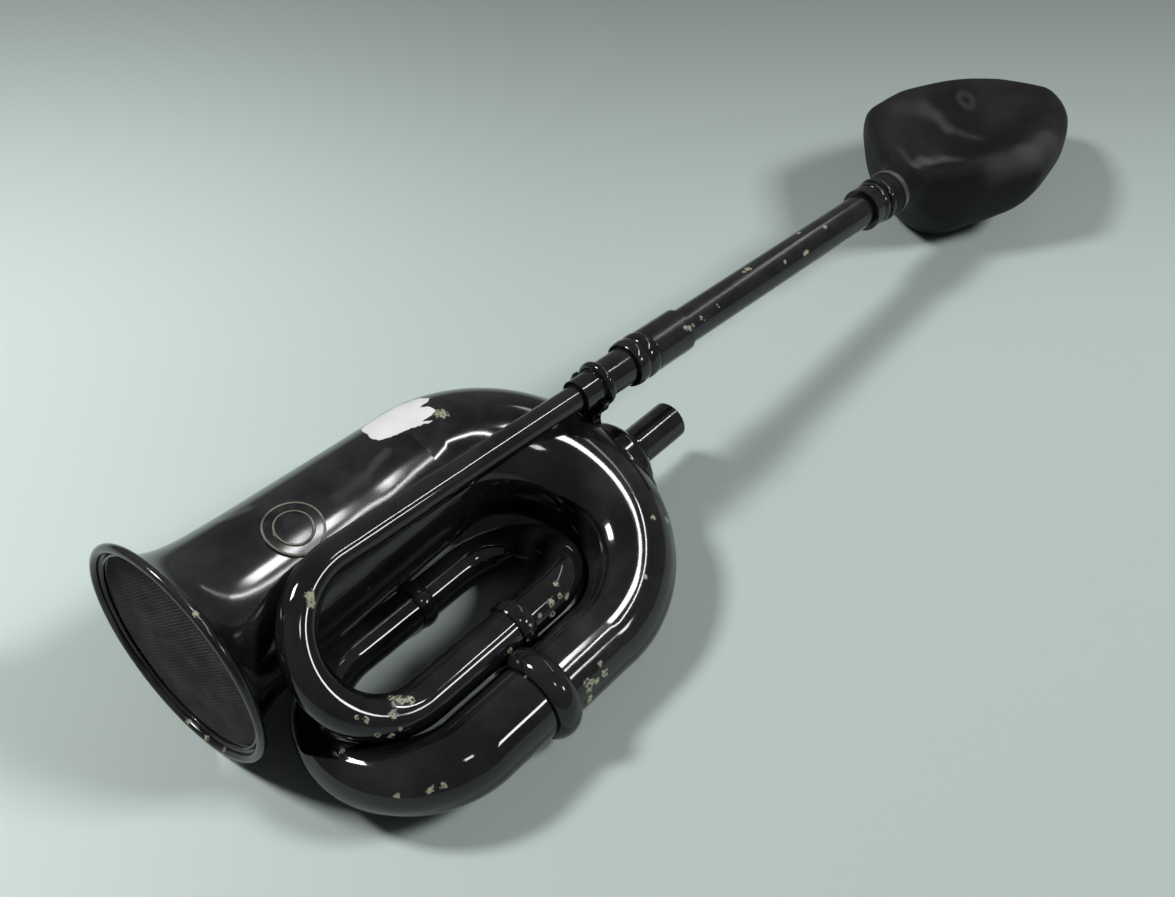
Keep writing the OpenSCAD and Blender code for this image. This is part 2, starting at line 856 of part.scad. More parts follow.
// One point of the rubber's section at u, at angle a from its left side
function rubber_point(u, a) =
    let (c = cos(a), s = sin(a))
    let (y = c > 0 ? reach(u, bulb_left_r, bulb_left_at) : reach(u, bulb_right_r, bulb_right_at))
    let (z = s > 0 ? reach(u, bulb_top_r, bulb_top_at) : reach(u, bulb_under_r, bulb_under_at))
    [u, y * c + bulb_droop * max(0, u - rubber_neck_len), z * s - fall(u) * pow(max(0, s), dish_power)];

// The same point moved inwards by the wall
function rubber_inner_point(u, a) =
    let (p = rubber_point(u, a))
    let (along = rubber_point(u, a + 1) - rubber_point(u, a - 1))
    p + rubber_wall * [0, -along[2], along[1]] / norm(along);

// Closed hollow form of the rubber, open at its neck
module rubber_form() {
    stations = [for (i = [0 : bulb_steps - 1]) (1 - cos(180 * i / bulb_steps)) / 2];
    angles = [for (k = [0 : tube_sides - 1]) 360 * k / tube_sides];
    inner_len = bulb_len - bulb_end_wall;
    outer = [for (t = stations, a = angles) rubber_point(t * bulb_len, a)];
    inner = [for (t = stations, a = angles) rubber_inner_point(t * inner_len, a)];
    inner_tip_y = bulb_droop * (inner_len - rubber_neck_len);
    bore = bulb_steps * tube_sides;
    last = bore - tube_sides;
    tip = 2 * bore;
    faces = [for (k = [0 : tube_sides - 1])
        let (j = (k + 1) % tube_sides)
        each concat(
            [for (i = [0 : bulb_steps - 2])
                let (a = i * tube_sides, b = a + tube_sides)
                each concat(quad(a + k, b + k, b + j, a + j),
                    quad(bore + a + j, bore + b + j, bore + b + k, bore + a + k))],
            quad(k, j, bore + j, bore + k),
            [[last + k, tip, last + j], [bore + last + j, tip + 1, bore + last + k]])];
    tip_points = [[bulb_len, bulb_droop * (bulb_len - rubber_neck_len), 0], [inner_len, inner_tip_y, 0]];
    polyhedron(concat(outer, inner, tip_points), faces);
}

module rubber_bulb() {
    color("darkslategray")
        rest()
            stem_line()
                rotate([-plane_tilt(upper_leg, stem_leg) - rest_roll, 0, 0])
                    translate([rubber_s, 0, 0])
                        rubber_form();
}

// Half-round trough with a flat face, a slot and an air bore
module reed_shallot() {
    color("goldenrod")
        rest()
            on_stem(shallot_s)
                difference() {
                    union() {
                        cylinder(r = reed_bore_r - fit, h = shallot_plug);
                        cylinder(r = shallot_r, h = shallot_plug + shallot_len);
                    }
                    translate([-reed_bore_r, face_y, shallot_plug])
                        cube([2 * reed_bore_r, reed_bore_r, shallot_len + overshoot]);
                    translate([-slot_w / 2, -air_bore_r, slot_start])
                        cube([slot_w, 2 * air_bore_r, slot_end - slot_start]);
                    translate([0, -overshoot, -overshoot])
                        cylinder(r = slot_w / 2, h = air_bore_len);
                    for (side = [-1, 1])
                        translate([side * screw_x, face_y - screw_depth, tongue_hinge_s - shallot_s])
                            rotate([-90, 0, 0])
                                cylinder(r = screw_r + fit, h = screw_depth + overshoot);
                }
}

// Springy strip that stands off the face by its lift
module reed_tongue() {
    color("gold")
        rest()
            on_stem(tongue_hinge_s)
                translate([0, tongue_y, 0])
                    rotate([-tongue_lift, 0, 0])
                        difference() {
                            translate([-tongue_w / 2, 0, -tongue_root])
                                cube([tongue_w, tongue_t, tongue_len]);
                            for (side = [-1, 1])
                                translate([side * screw_x, -overshoot, 0])
                                    rotate([-90, 0, 0])
                                        cylinder(r = screw_r + tongue_room, h = tongue_t + 2 * overshoot);
                        }
}

module reed_clamp() {
    color("goldenrod")
        rest()
            on_stem(tongue_hinge_s)
                difference() {
                    translate([-tongue_w / 2, clamp_y, -clamp_len / 2])
                        cube([tongue_w, clamp_t, clamp_len]);
                    for (side = [-1, 1])
                        translate([side * screw_x, 0, 0])
                            rotate([-90, 0, 0])
                                cylinder(r = screw_r + fit, h = reed_bore_r);
                }
}

module reed_screws() {
    color("silver")
        rest()
            on_stem(tongue_hinge_s)
                for (side = [-1, 1])
                    translate([side * screw_x, 0, 0])
                        rotate([-90, 0, 0]) {
                            translate([0, 0, face_y - screw_depth + fit])
                                cylinder(r = screw_r, h = clamp_y + clamp_t - face_y + screw_depth);
                            translate([0, 0, clamp_y + clamp_t])
                                cylinder(r = screw_head_r, h = screw_head_h);
                        }
}

bell();
rim_wire();
gauze_screen();
gauze_ring();
badge();
big_bend();
big_bend_ferrule();
lower_loop();
inner_ferrule();
inner_bend();
upper_ferrule();
upper_loop();
stem_collar();
collar_bracket();
spigot_boss();
mounting_spigot();
reed_housing();
housing_ring();
neck_socket();
socket_ring();
neck_tube();
bulb_ferrule();
bulb_band();
rubber_bulb();
reed_shallot();
reed_tongue();
reed_clamp();
reed_screws();
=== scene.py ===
import bpy
from math import atan2, copysign, cos, exp, hypot, pi, radians, sin
from mathutils import Matrix, Vector, noise


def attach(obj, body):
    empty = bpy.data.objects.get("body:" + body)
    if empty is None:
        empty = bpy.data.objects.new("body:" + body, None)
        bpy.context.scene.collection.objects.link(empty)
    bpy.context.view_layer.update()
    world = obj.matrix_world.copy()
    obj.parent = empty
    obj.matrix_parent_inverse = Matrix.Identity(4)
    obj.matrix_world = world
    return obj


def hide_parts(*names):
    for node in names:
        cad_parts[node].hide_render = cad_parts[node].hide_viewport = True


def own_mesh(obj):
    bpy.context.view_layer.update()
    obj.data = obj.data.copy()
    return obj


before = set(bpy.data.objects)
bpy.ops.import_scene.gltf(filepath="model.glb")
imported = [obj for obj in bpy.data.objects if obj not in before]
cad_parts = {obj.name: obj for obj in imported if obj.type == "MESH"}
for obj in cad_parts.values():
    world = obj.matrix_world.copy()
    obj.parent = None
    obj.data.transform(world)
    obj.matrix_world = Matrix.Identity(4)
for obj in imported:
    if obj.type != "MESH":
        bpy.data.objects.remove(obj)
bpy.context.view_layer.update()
print("frame loaded")

mm = 0.001
weldGap = 1e-6
noise.seed_set(5)  # each run tears the scrap of paper alike

# how the horn lies: bell axis along x, turned and tipped onto the floor
lay = {"roll": 13.73, "pitch": 2.98, "x": -302.6, "y": 37.45, "rimRadius": 51.0, "rimBead": 2.0}
# tubes of the coil: their legs as (y, z), where each bend starts, and their radii
coil = {
    "wall": 0.8, "inner": (-37.5, -27.0), "upper": (-82.0, 8.5), "stem": (-22.5, 42.5),
    "bigStartX": 128.0, "bigStartR": 32.6, "bigEndR": 17.9, "lowerR": 17.2, "innerR": 10.0,
    "rearBendX": 62.0, "innerBendX": 127.0, "smallBendX": 57.0, "splay": 3.2,
    "stemRootR": 7.5, "stemEndR": 6.0, "stemTaper": 130.0, "stemLength": 161.65,
    "bigFerruleX": 97.5, "innerFerruleX": 100.5, "upperFerruleX": 108.5,
    "endGap": 0.2, "uneven": 0.10, "bigUneven": 0.16, "lumps": 0.045,
}
bendX, bendR = 136.0, 54.65  # where the big bend starts, and its radius


def shifted(x, y=0.0, z=0.0):
    return Matrix.Translation(Vector((x, y, z)) * mm)


def leanOf(a, b):
    return atan2(b[1] - a[1], b[0] - a[0])


def bendPlane(a, b):
    return onHorn @ shifted(0, *a) @ Matrix.Rotation(leanOf(a, b), 4, "X")


def halfGap(a, b):
    return hypot(b[0] - a[0], b[1] - a[1]) / 2


def onLeg(leg, x):
    return onHorn @ shifted(x, *leg)


lift = lay["rimRadius"] * cos(radians(lay["pitch"])) + lay["rimBead"]
onHorn = (shifted(lay["x"], lay["y"], lift) @ Matrix.Rotation(radians(lay["pitch"]), 4, "Y")
          @ Matrix.Rotation(radians(lay["roll"]), 4, "X"))
offHorn = onHorn.inverted()
lowerLeg = (-2 * bendR, 0.0)
rearR = halfGap(lowerLeg, coil["inner"])
innerBendR = halfGap(coil["inner"], coil["upper"])
smallR = halfGap(coil["upper"], coil["stem"])
stemLean = leanOf(coil["upper"], coil["stem"])
stemPlane = bendPlane(coil["upper"], coil["stem"])
onStem = (stemPlane @ shifted(coil["smallBendX"], smallR)
          @ Matrix.Rotation(radians(-coil["splay"]), 4, "Z") @ shifted(0, smallR))

# the camera and its place over the floor
shot = {
    "place": (-435.31, -286.94, 520.93), "right": (0.65526, -0.75529, 0.01107),
    "up": (0.55411, 0.49069, 0.67248), "focalPixels": 1400.0, "imageWidth": 1175.0,
    "sensor": 36.0, "nearest": 0.01,
}


def newHolder(data):
    holder = bpy.data.objects.new(data.name, data)
    bpy.context.scene.collection.objects.link(holder)
    return holder


def makeCamera():
    camera = bpy.data.cameras.new("shotCamera")
    camera.sensor_fit = "HORIZONTAL"
    camera.sensor_width = shot["sensor"]
    camera.lens = shot["focalPixels"] / shot["imageWidth"] * shot["sensor"]
    camera.clip_start = shot["nearest"]
    holder = newHolder(camera)
    right = Vector(shot["right"]).normalized()
    up = Vector(shot["up"])
    up = (up - right * up.dot(right)).normalized()
    turn = Matrix((right, up, right.cross(up))).transposed().to_4x4()
    holder.matrix_world = shifted(*shot["place"]) @ turn
    bpy.context.scene.camera = holder


makeCamera()
bpy.context.scene.view_settings.view_transform = "Standard"
print("camera set")


# shader helpers: values are set on a node's sockets, and other nodes' outputs are joined to them
def feed(node, values):
    for key, value in values.items():
        if isinstance(value, bpy.types.NodeSocket):
            node.id_data.links.new(value, node.inputs[key])
        else:
            node.inputs[key].default_value = value


def addNode(tree, kind, values=None, **settings):
    node = tree.nodes.new("ShaderNode" + kind)
    for key, value in settings.items():
        setattr(node, key, value)
    feed(node, values or {})
    return node.outputs


def calculate(operation, *terms, kind="Math", output=0, **settings):
    values = dict(enumerate(terms))
    return addNode(terms[0].id_data, kind, values, operation=operation, **settings)[output]


def combine(operation, *terms):  # vectors into a vector
    return calculate(operation, *terms, kind="VectorMath")


def measure(operation, *terms):  # vectors into a number
    return calculate(operation, *terms, kind="VectorMath", output="Value")


def stretched(vector, factor):
    return addNode(vector.id_data, "VectorMath", {0: vector, "Scale": factor}, operation="SCALE")[0]


def larger(a, b):
    return calculate("MAXIMUM", a, b)


def ramp(value, low, high, start=0.0, end=1.0, kind="LINEAR"):
    values = {"Value": value, "From Min": low, "From Max": high, "To Min": start, "To Max": end}
    return addNode(value.id_data, "MapRange", values, interpolation_type=kind)["Result"]


def softRamp(value, low, high, start=0.0, end=1.0):
    return ramp(value, low, high, start, end, "SMOOTHSTEP")


def objectPlace(tree):
    return addNode(tree, "TexCoord")["Object"]


def cloud(tree, scale, detail=2.0, roughness=0.5, place=None, output="Fac"):
    place = place or objectPlace(tree)
    values = {"Vector": place, "Scale": scale, "Detail": detail, "Roughness": roughness}
    return addNode(tree, "TexNoise", values)[output]


def noiseValue(tree, scale, detail=6.0):
    return ramp(cloud(tree, scale, detail), *wear["noiseEdge"])


def wander(tree, grain, reach):  # a ragged shift of place
    return stretched(combine("SUBTRACT", cloud(tree, *grain, output="Color"), wear["middle"]), reach)


def metres(place):
    return tuple(v * mm for v in place)


# a group of nodes with its inputs, which puts out one mask
def makeGroup(name, inputs, maskFrom):
    tree = bpy.data.node_groups.new(name, "ShaderNodeTree")
    for label, value in inputs.items():
        kind = "NodeSocketVector" if isinstance(value, tuple) else "NodeSocketFloat"
        tree.interface.new_socket(label, in_out="INPUT", socket_type=kind).default_value = value
    tree.interface.new_socket("Mask", in_out="OUTPUT", socket_type="NodeSocketFloat")
    mask = maskFrom(tree, tree.nodes.new("NodeGroupInput").outputs)
    feed(tree.nodes.new("NodeGroupOutput"), {"Mask": mask})
    return tree


even = (1.0, 1.0, 1.0)
origin = (0.0, 0.0, 0.0)
# wear: grains of noise as scale, detail and roughness, and the edges that make masks of them
wear = {
    "middle": (0.5, 0.5, 0.5), "noiseEdge": (0.3, 0.7),
    "chipGrain": (620.0, 8.0, 0.72), "chipCore": 0.7, "flakes": (900.0, 3.0), "flakeEdge": (0.4, 0.47),
    "facingUp": (-0.1, 1.0), "topTintGrain": (8.0, 0.62), "topTintEdge": (0.35, 0.72),
    "speckGrain": (3.0, 0.7), "speckFields": 24.0, "fieldShare": 0.35, "speckEdge": 0.03,
    "scuffTurn": (0.2, 0.1, 0.5), "scuffDraw": (1.0, 9.0, 9.0), "scuffGrain": (6.0, 0.75),
    "scuffEdge": (0.5, 0.8), "paleLineGrain": (90.0, 4.0, 0.5), "paleLineWander": 0.006,
}


# one ragged spot where the paint has gone
def chipSpot(tree, given):
    away = combine("SUBTRACT", objectPlace(tree), given["Centre"])
    moved = combine("ADD", away, wander(tree, wear["chipGrain"], given["Ragged"]))
    reach = measure("LENGTH", combine("MULTIPLY", moved, given["Stretch"]))
    core = calculate("MULTIPLY", given["Size"], wear["chipCore"])
    spot = softRamp(reach, core, given["Size"], 1.0, 0.0)
    flakes = ramp(cloud(tree, *wear["flakes"]), *wear["flakeEdge"])
    return calculate("MULTIPLY", spot, flakes)


# grey patches on what faces up: on the japanned paint, dust and a painted sheen of the upper sides; on the
# rubber, its bloom
def settledDust(tree, given):
    facing = addNode(tree, "SeparateXYZ", {0: addNode(tree, "TexCoord")["Normal"]})["Z"]
    patch = softRamp(cloud(tree, given["Scale"], *wear["topTintGrain"]), *wear["topTintEdge"])
    onTop = calculate("MULTIPLY", softRamp(facing, *wear["facingUp"]), patch)
    return calculate("MULTIPLY", onTop, given["Amount"], use_clamp=True)


# tiny specks of bare undercoat
def tinySpecks(tree, given):
    fields = calculate("MULTIPLY", cloud(tree, wear["speckFields"]), wear["fieldShare"])
    total = calculate("ADD", cloud(tree, given["Scale"], *wear["speckGrain"]), fields)
    over = calculate("ADD", given["Limit"], wear["speckEdge"])
    return softRamp(total, given["Limit"], over)


# fine lines rubbed along the horn
def fineScuffs(tree, given):
    values = {"Vector": objectPlace(tree), "Rotation": wear["scuffTurn"], "Scale": wear["scuffDraw"]}
    drawn = addNode(tree, "Mapping", values)[0]
    lines = ramp(cloud(tree, given["Scale"], *wear["scuffGrain"], drawn), *wear["scuffEdge"])
    return calculate("MULTIPLY", lines, given["Amount"], use_clamp=True)


# a pale line between two places: rubs and smears, and on the bulb also painted highlights
def rubbedLine(tree, given):
    moved = combine("ADD", objectPlace(tree), wander(tree, wear["paleLineGrain"], wear["paleLineWander"]))
    along = combine("SUBTRACT", given["End"], given["Start"])
    away = combine("SUBTRACT", moved, given["Start"])
    reach = measure("DOT_PRODUCT", away, along)
    share = calculate("DIVIDE", reach, measure("DOT_PRODUCT", along, along), use_clamp=True)
    gap = measure("DISTANCE", away, stretched(along, share))
    return softRamp(gap, 0.0, given["Width"], given["Strength"], 0.0)


chipInputs = {"Centre": origin, "Size": 0.002, "Stretch": even, "Ragged": 0.002}
paleLineInputs = {"Start": origin, "End": origin, "Width": 0.003, "Strength": 0.5}
chipGroup = makeGroup("chipSpot", chipInputs, chipSpot)
topTintGroup = makeGroup("settledDust", {"Amount": 0.3, "Scale": 30.0}, settledDust)
speckGroup = makeGroup("tinySpecks", {"Scale": 160.0, "Limit": 0.74}, tinySpecks)
scuffGroup = makeGroup("fineScuffs", {"Scale": 60.0, "Amount": 0.3}, fineScuffs)
paleLineGroup = makeGroup("rubbedLine", paleLineInputs, rubbedLine)


def maskOf(tree, group, values):
    return addNode(tree, "Group", values, node_tree=group)["Mask"]


def topTintMask(tree, amount, scale):
    return maskOf(tree, topTintGroup, {"Amount": amount, "Scale": scale})


def paleLineMask(tree, start, end, width, strength):
    values = {"Start": metres(start), "End": metres(end), "Width": width * mm, "Strength": strength}
    return maskOf(tree, paleLineGroup, values)


def mixColours(factor, a, b):
    a, b = (colour + (1.0,) if isinstance(colour, tuple) else colour for colour in (a, b))
    return addNode(factor.id_data, "Mix", {0: factor, 6: a, 7: b}, data_type="RGBA")[2]


def mixValues(factor, a, b):
    return addNode(factor.id_data, "Mix", {0: factor, 2: a, 3: b}, data_type="FLOAT")[0]


def bumpOf(height, distance, strength):
    values = {"Distance": distance, "Strength": strength, "Height": height}
    return addNode(height.id_data, "Bump", values)["Normal"]


def newMaterial(name):
    material = bpy.data.materials.new(name)
    material.use_nodes = True
    return material, material.node_tree, material.node_tree.nodes["Principled BSDF"]


# black japan over a cream undercoat
japan = {
    # the third colour is grey dust and a painted sheen on what faces up
    "black": (0.003, 0.0028, 0.0042), "faded": (0.006, 0.0057, 0.0068), "topTint": (0.064, 0.064, 0.068),
    "undercoat": (0.46, 0.48, 0.33), "bare": (0.25, 0.25, 0.18), "dustRoughness": 0.12,
    "chipRoughness": 0.6, "ragged": 2.4, "scuffScale": 55.0, "scuffRoughness": 0.3, "toneScale": 14.0,
    "bareScale": 300.0, "peel": (900.0, 2.0), "peelShare": 0.015, "waves": (45.0, 2.0),
    "bump": (0.00006, 0.6),
}
# its coats: dust with a painted sheen on what faces up (amount, scale), chips (x, y, z, size, perhaps
# stretch), smears (from, to, width, strength)
paints = {
    "bellPaint": {
        "roughness": 0.13, "topTint": (0.42, 22.0), "specks": 0.97, "scuffs": 0.12,
        "chips": ((-299.7, 13.7, 100.1, 1.6), (-306.3, 40.8, 3.8, 1.4), (-306.3, 28.6, 4.5, 1.6),
            (-306.0, 16.1, 8.6, 1.3), (-303.8, -10.7, 30.8, 1.0)),
        "smears": (((-258.0, 55.5, 82.2), (-247.5, 52.2, 82.9), 3.6, 1.0),
            ((-230.0, 22.0, 83.5), (-219.0, 27.0, 82.3), 8.0, 0.4),
            ((-219.3, 29.2, 82.3), (-202.1, 31.1, 81.0), 6.0, 0.6),
            ((-202.1, 31.1, 81.0), (-187.0, 35.0, 80.1), 3.6, 0.7)),
    },
    "bendPaint": {
        "roughness": 0.08, "topTint": (0.42, 26.0), "specks": 0.99, "scuffs": 0.06,
        "chips": ((-183.7, -82.7, 31.9, 1.5), (-183.4, -85.3, 27.5, 2.1), (-188.6, -85.3, 27.5, 1.7),
            (-191.1, -84.7, 29.1, 1.8), (-193.5, -84.0, 30.4, 2.0), (-193.9, -85.6, 27.2, 2.0),
            (-194.3, -86.6, 21.9, 1.7, (1.0, 1.0, 0.6)), (-107.5, -56.9, 35.4, 2.0),
            (-115.4, -54.8, 42.3, 1.5), (-140.4, -71.0, 38.2, 1.2), (-154.2, 35.4, 76.6, 3.3)),
    },
    "loopPaint": {
        "roughness": 0.05, "topTint": (0.25, 30.0), "specks": 0.99, "scuffs": 0.06,
        "chips": ((-262.5, -3.9, 88.9, 2.1), (-263.5, -5.8, 87.1, 2.2), (-259.2, -40.3, 51.6, 1.7),
            (-257.2, -43.1, 50.7, 2.7), (-254.5, -45.3, 49.7, 2.2), (-263.5, -45.9, 51.1, 2.2),
            (-276.0, -39.4, 57.3, 1.2), (-273.8, -41.8, 55.0, 1.4), (-272.8, -46.2, 47.6, 1.5),
            (-268.4, -48.9, 44.4, 1.7), (-264.7, -49.8, 45.9, 1.2),
            (-271.4, -71.8, 33.8, 2.0, (0.7, 1.4, 1.4)), (-267.1, -74.5, 34.2, 1.7),
            (-281.0, -63.3, 32.1, 1.5), (-282.7, -34.6, 35.4, 1.4), (-171.8, -47.7, 44.1, 1.4),
            (-179.4, -51.7, 42.0, 2.1), (-173.9, -51.8, 41.4, 1.5), (-170.6, -52.8, 39.0, 1.7),
            (-187.1, -52.4, 41.5, 1.4), (-180.8, -54.0, 37.7, 1.8), (-207.1, -53.9, 39.3, 1.5)),
    },
    "neckPaint": {
        "roughness": 0.16, "topTint": (0.25, 40.0), "specks": 0.93, "scuffs": 0.35,
        "chips": ((-38.2, -9.9, 75.4, 1.6), (-36.2, -10.9, 74.4, 1.6), (-32.5, -9.8, 72.7, 1.3),
            (-25.8, -9.3, 72.8, 1.1), (-12.8, -9.6, 71.9, 1.1, (1.6, 0.7, 0.7)),
            (19.6, -3.5, 70.9, 2.1), (16.1, -3.6, 71.3, 1.2), (40.1, -11.8, 67.1, 1.2),
            (56.0, -13.8, 64.1, 1.4, (0.45, 1.0, 1.0)), (64.5, -3.2, 66.2, 1.4),
            (78.3, -10.0, 65.4, 1.6)),
    },
    "fittingPaint": {
        "roughness": 0.08, "topTint": (0.25, 60.0), "specks": 0.99, "scuffs": 0.1,
        "chips": ((-194.2, -53.3, 43.5, 1.0), (-198.3, -43.1, 46.7, 0.9), (-197.7, -55.2, 38.2, 0.8)),
    },
    "badgePaint": {"roughness": 0.25, "topTint": (0.6, 70.0), "specks": 0.95, "scuffs": 0.4},
}


def japanMaterial(name):
    look = paints[name]
    material, tree, shader = newMaterial(name)
    topTint = topTintMask(tree, *look["topTint"])
    for smear in look.get("smears", ()):
        topTint = larger(topTint, paleLineMask(tree, *smear))
    scuff = maskOf(tree, scuffGroup, {"Amount": look["scuffs"], "Scale": japan["scuffScale"]})
    worn = maskOf(tree, speckGroup, {"Limit": look["specks"]})
    for x, y, z, size, *stretch in look.get("chips", ()):
        chip = {"Centre": metres((x, y, z)), "Size": size * mm, "Ragged": size * mm * japan["ragged"],
                "Stretch": stretch[0] if stretch else even}
        worn = larger(worn, maskOf(tree, chipGroup, chip))
    ground = mixColours(noiseValue(tree, japan["toneScale"]), japan["black"], japan["faded"])
    undercoat = mixColours(noiseValue(tree, japan["bareScale"]), japan["undercoat"], japan["bare"])
    # dust and a painted sheen lighten the black where it faces up
    topTinted = mixColours(topTint, ground, japan["topTint"])
    rubbed = mixValues(scuff, look["roughness"], look["roughness"] + japan["scuffRoughness"])
    dulled = mixValues(topTint, rubbed, japan["dustRoughness"])
    peel = calculate("MULTIPLY", noiseValue(tree, *japan["peel"]), japan["peelShare"])
    skin = calculate("ADD", peel, noiseValue(tree, *japan["waves"]))
    feed(shader, {"Base Color": mixColours(worn, topTinted, undercoat),
                  "Roughness": mixValues(worn, dulled, japan["chipRoughness"]),
                  "Normal": bumpOf(calculate("SUBTRACT", skin, worn), *japan["bump"])})
    return material


paint = {name: japanMaterial(name) for name in paints}
print("paint made")

# other finishes: dark and light, roughness, metallic, scale of the pattern, depth of its bumps
finishes = {
    "gauzeWire": ((0.036, 0.030, 0.030), (0.10, 0.086, 0.084), 0.6, 0.2, 60.0, 0.00005),
    "bandMetal": ((0.05, 0.05, 0.05), (0.13, 0.13, 0.125), 0.5, 0.2, 90.0, 0.0001),
    "ringWear": ((0.045, 0.041, 0.034), (0.27, 0.25, 0.19), 0.5, 0.0, 130.0, 0.00003),
    "plainSteel": ((0.30, 0.30, 0.30), (0.48, 0.48, 0.47), 0.35, 1.0, 120.0, 0.00003),
    "reedBrass": ((0.42, 0.28, 0.10), (0.62, 0.45, 0.18), 0.3, 1.0, 110.0, 0.00003),
    "tornPaper": ((0.74, 0.76, 0.74), (0.86, 0.87, 0.85), 0.8, 0.0, 80.0, 0.00008),
}
pattern = {"detail": 8.0, "dulled": 0.2, "dullScale": 3, "bumpScale": 6, "bumpDetail": 4.0, "bump": 0.6}


def finishMaterial(name):
    dark, light, roughness, metallic, scale, depth = finishes[name]
    material, tree, shader = newMaterial(name)
    dull = noiseValue(tree, scale * pattern["dullScale"])
    grain = noiseValue(tree, scale * pattern["bumpScale"], pattern["bumpDetail"])
    feed(shader, {"Base Color": mixColours(noiseValue(tree, scale, pattern["detail"]), dark, light),
                  "Roughness": mixValues(dull, roughness, roughness + pattern["dulled"]),
                  "Metallic": metallic, "Normal": bumpOf(grain, depth, pattern["bump"])})
    return material


finish = {name: finishMaterial(name) for name in finishes}

# old rubber: near black, a little bloomed on top, with pale rubs and painted highlights along its ridges
# (from, to, width, strength) and a round mark
rubber = {
    "dark": (0.0048, 0.0045, 0.0056), "brown": (0.0095, 0.009, 0.0105), "bloom": (0.055, 0.053, 0.054),
    "rubAndHighlight": (0.08, 0.08, 0.078), "topTint": (0.26, 24.0), "roughness": (0.45, 0.6), "gloss": 0.14,
    "tone": (18.0, 8.0), "dullScale": 40.0, "grain": (120.0, 8.0), "crackScale": 260.0, "crackWidth": 0.08,
    "bump": (0.00008, 0.4),
    # pale rubs
    "rubsAndHighlights": (((205.0, 25.0, 58.0), (217.3, 13.8, 55.2), 10.0, 0.2),
        ((217.3, 13.8, 55.2), (220.5, 6.3, 52.2), 8.0, 0.35),
        ((220.5, 6.3, 52.2), (219.4, -1.7, 49.0), 7.0, 0.35),
        ((219.4, -1.7, 49.0), (226.9, -16.8, 45.2), 6.5, 0.3),
        # painted highlights along the ridge by the neck and along the near ridge
        ((172.0, -8.6, 51.8), (184.2, -10.0, 49.0), 6.0, 0.75),
        ((184.2, -10.0, 49.0), (194.1, -15.4, 47.6), 7.0, 0.6),
        ((194.1, -15.4, 47.6), (195.9, -22.3, 49.3), 7.0, 0.35),
        ((176.0, 4.0, 53.0), (172.0, -8.6, 51.8), 6.0, 0.3),
        ((197.1, -47.2, 54.0), (215.9, -54.5, 57.5), 14.0, 0.4),
        ((215.9, -54.5, 57.5), (240.0, -54.6, 55.5), 14.0, 0.5)),
    "ring": {"centre": (249.7, 4.5, 50.0), "radius": 4.6, "width": 4.2, "strength": 0.35},
}


def ringMask(tree):
    ring = rubber["ring"]
    reach = measure("DISTANCE", objectPlace(tree), metres(ring["centre"]))
    off = calculate("ABSOLUTE", calculate("SUBTRACT", reach, ring["radius"] * mm))
    return softRamp(off, 0.0, ring["width"] * mm, ring["strength"], 0.0)


def rubberMaterial():
    material, tree, shader = newMaterial("agedRubber")
    ground = mixColours(noiseValue(tree, *rubber["tone"]), rubber["dark"], rubber["brown"])
    colour = mixColours(topTintMask(tree, *rubber["topTint"]), ground, rubber["bloom"])
    # pale rubs, painted highlights and the round mark go into the colour
    for mask in [paleLineMask(tree, *rubAndHighlight) for rubAndHighlight in rubber["rubsAndHighlights"]] + [ringMask(tree)]:
        colour = mixColours(mask, colour, rubber["rubAndHighlight"])
    values = {"Vector": objectPlace(tree), "Scale": rubber["crackScale"]}
    cracks = addNode(tree, "TexVoronoi", values, feature="DISTANCE_TO_EDGE")["Distance"]
    edges = ramp(cracks, 0.0, rubber["crackWidth"])
    skin = calculate("ADD", edges, noiseValue(tree, *rubber["grain"]))
    feed(shader, {"Base Color": colour, "Specular IOR Level": rubber["gloss"],
                  "Roughness": mixValues(noiseValue(tree, rubber["dullScale"]), *rubber["roughness"]),
                  "Normal": bumpOf(skin, *rubber["bump"])})
    return material


agedRubber = rubberMaterial()
print("materials made")


# modelling helpers
def newPiece(name, addPrimitive, **settings):
    bpy.ops.object.select_all(action="DESELECT")
    addPrimitive(**settings)
    piece = bpy.context.object
    piece.name = name
    return piece


def newGrid(name, across, along):
    addGrid = bpy.ops.mesh.primitive_grid_add
    return newPiece(name, addGrid, x_subdivisions=across, y_subdivisions=along, size=1)


def gridSteps(piece, across, along):  # each point of a grid, with its angle round and its row
    for vertex in piece.data.vertices:
        column = round((vertex.co.x + 0.5) * across)
        yield vertex, 2 * pi * column / across, round((vertex.co.y + 0.5) * along)


def mode(name):
    bpy.ops.object.mode_set(mode=name)


def weld():
    bpy.ops.mesh.select_all(action="SELECT")
    bpy.ops.mesh.remove_doubles(threshold=weldGap)


def pick(piece):
    piece.select_set(True)
    bpy.context.view_layer.objects.active = piece


def smooth(angle=32):
    bpy.ops.object.shade_smooth_by_angle(angle=radians(angle))


def drawOutline(name, outline):
    points = [Vector((x, 0, r)) * mm for x, r in outline]
    piece = newPiece(name, bpy.ops.mesh.primitive_plane_add, size=mm)
    mode("EDIT")
    bpy.ops.mesh.select_all(action="SELECT")
    bpy.ops.mesh.merge(type="CENTER")
    bpy.ops.transform.translate(value=points[0])
    for a, b in zip(points, points[1:] + points[:1]):
        bpy.ops.mesh.extrude_region_move(TRANSFORM_OT_translate={"value": b - a})
    weld()
    return piece


def settle(piece, place, smoothAngle=32):
    mode("EDIT")
    weld()
    bpy.ops.mesh.normals_make_consistent(inside=False)
    mode("OBJECT")
    piece.matrix_world = place
    bpy.ops.object.transform_apply(location=True, rotation=True, scale=True)
    smooth(smoothAngle)


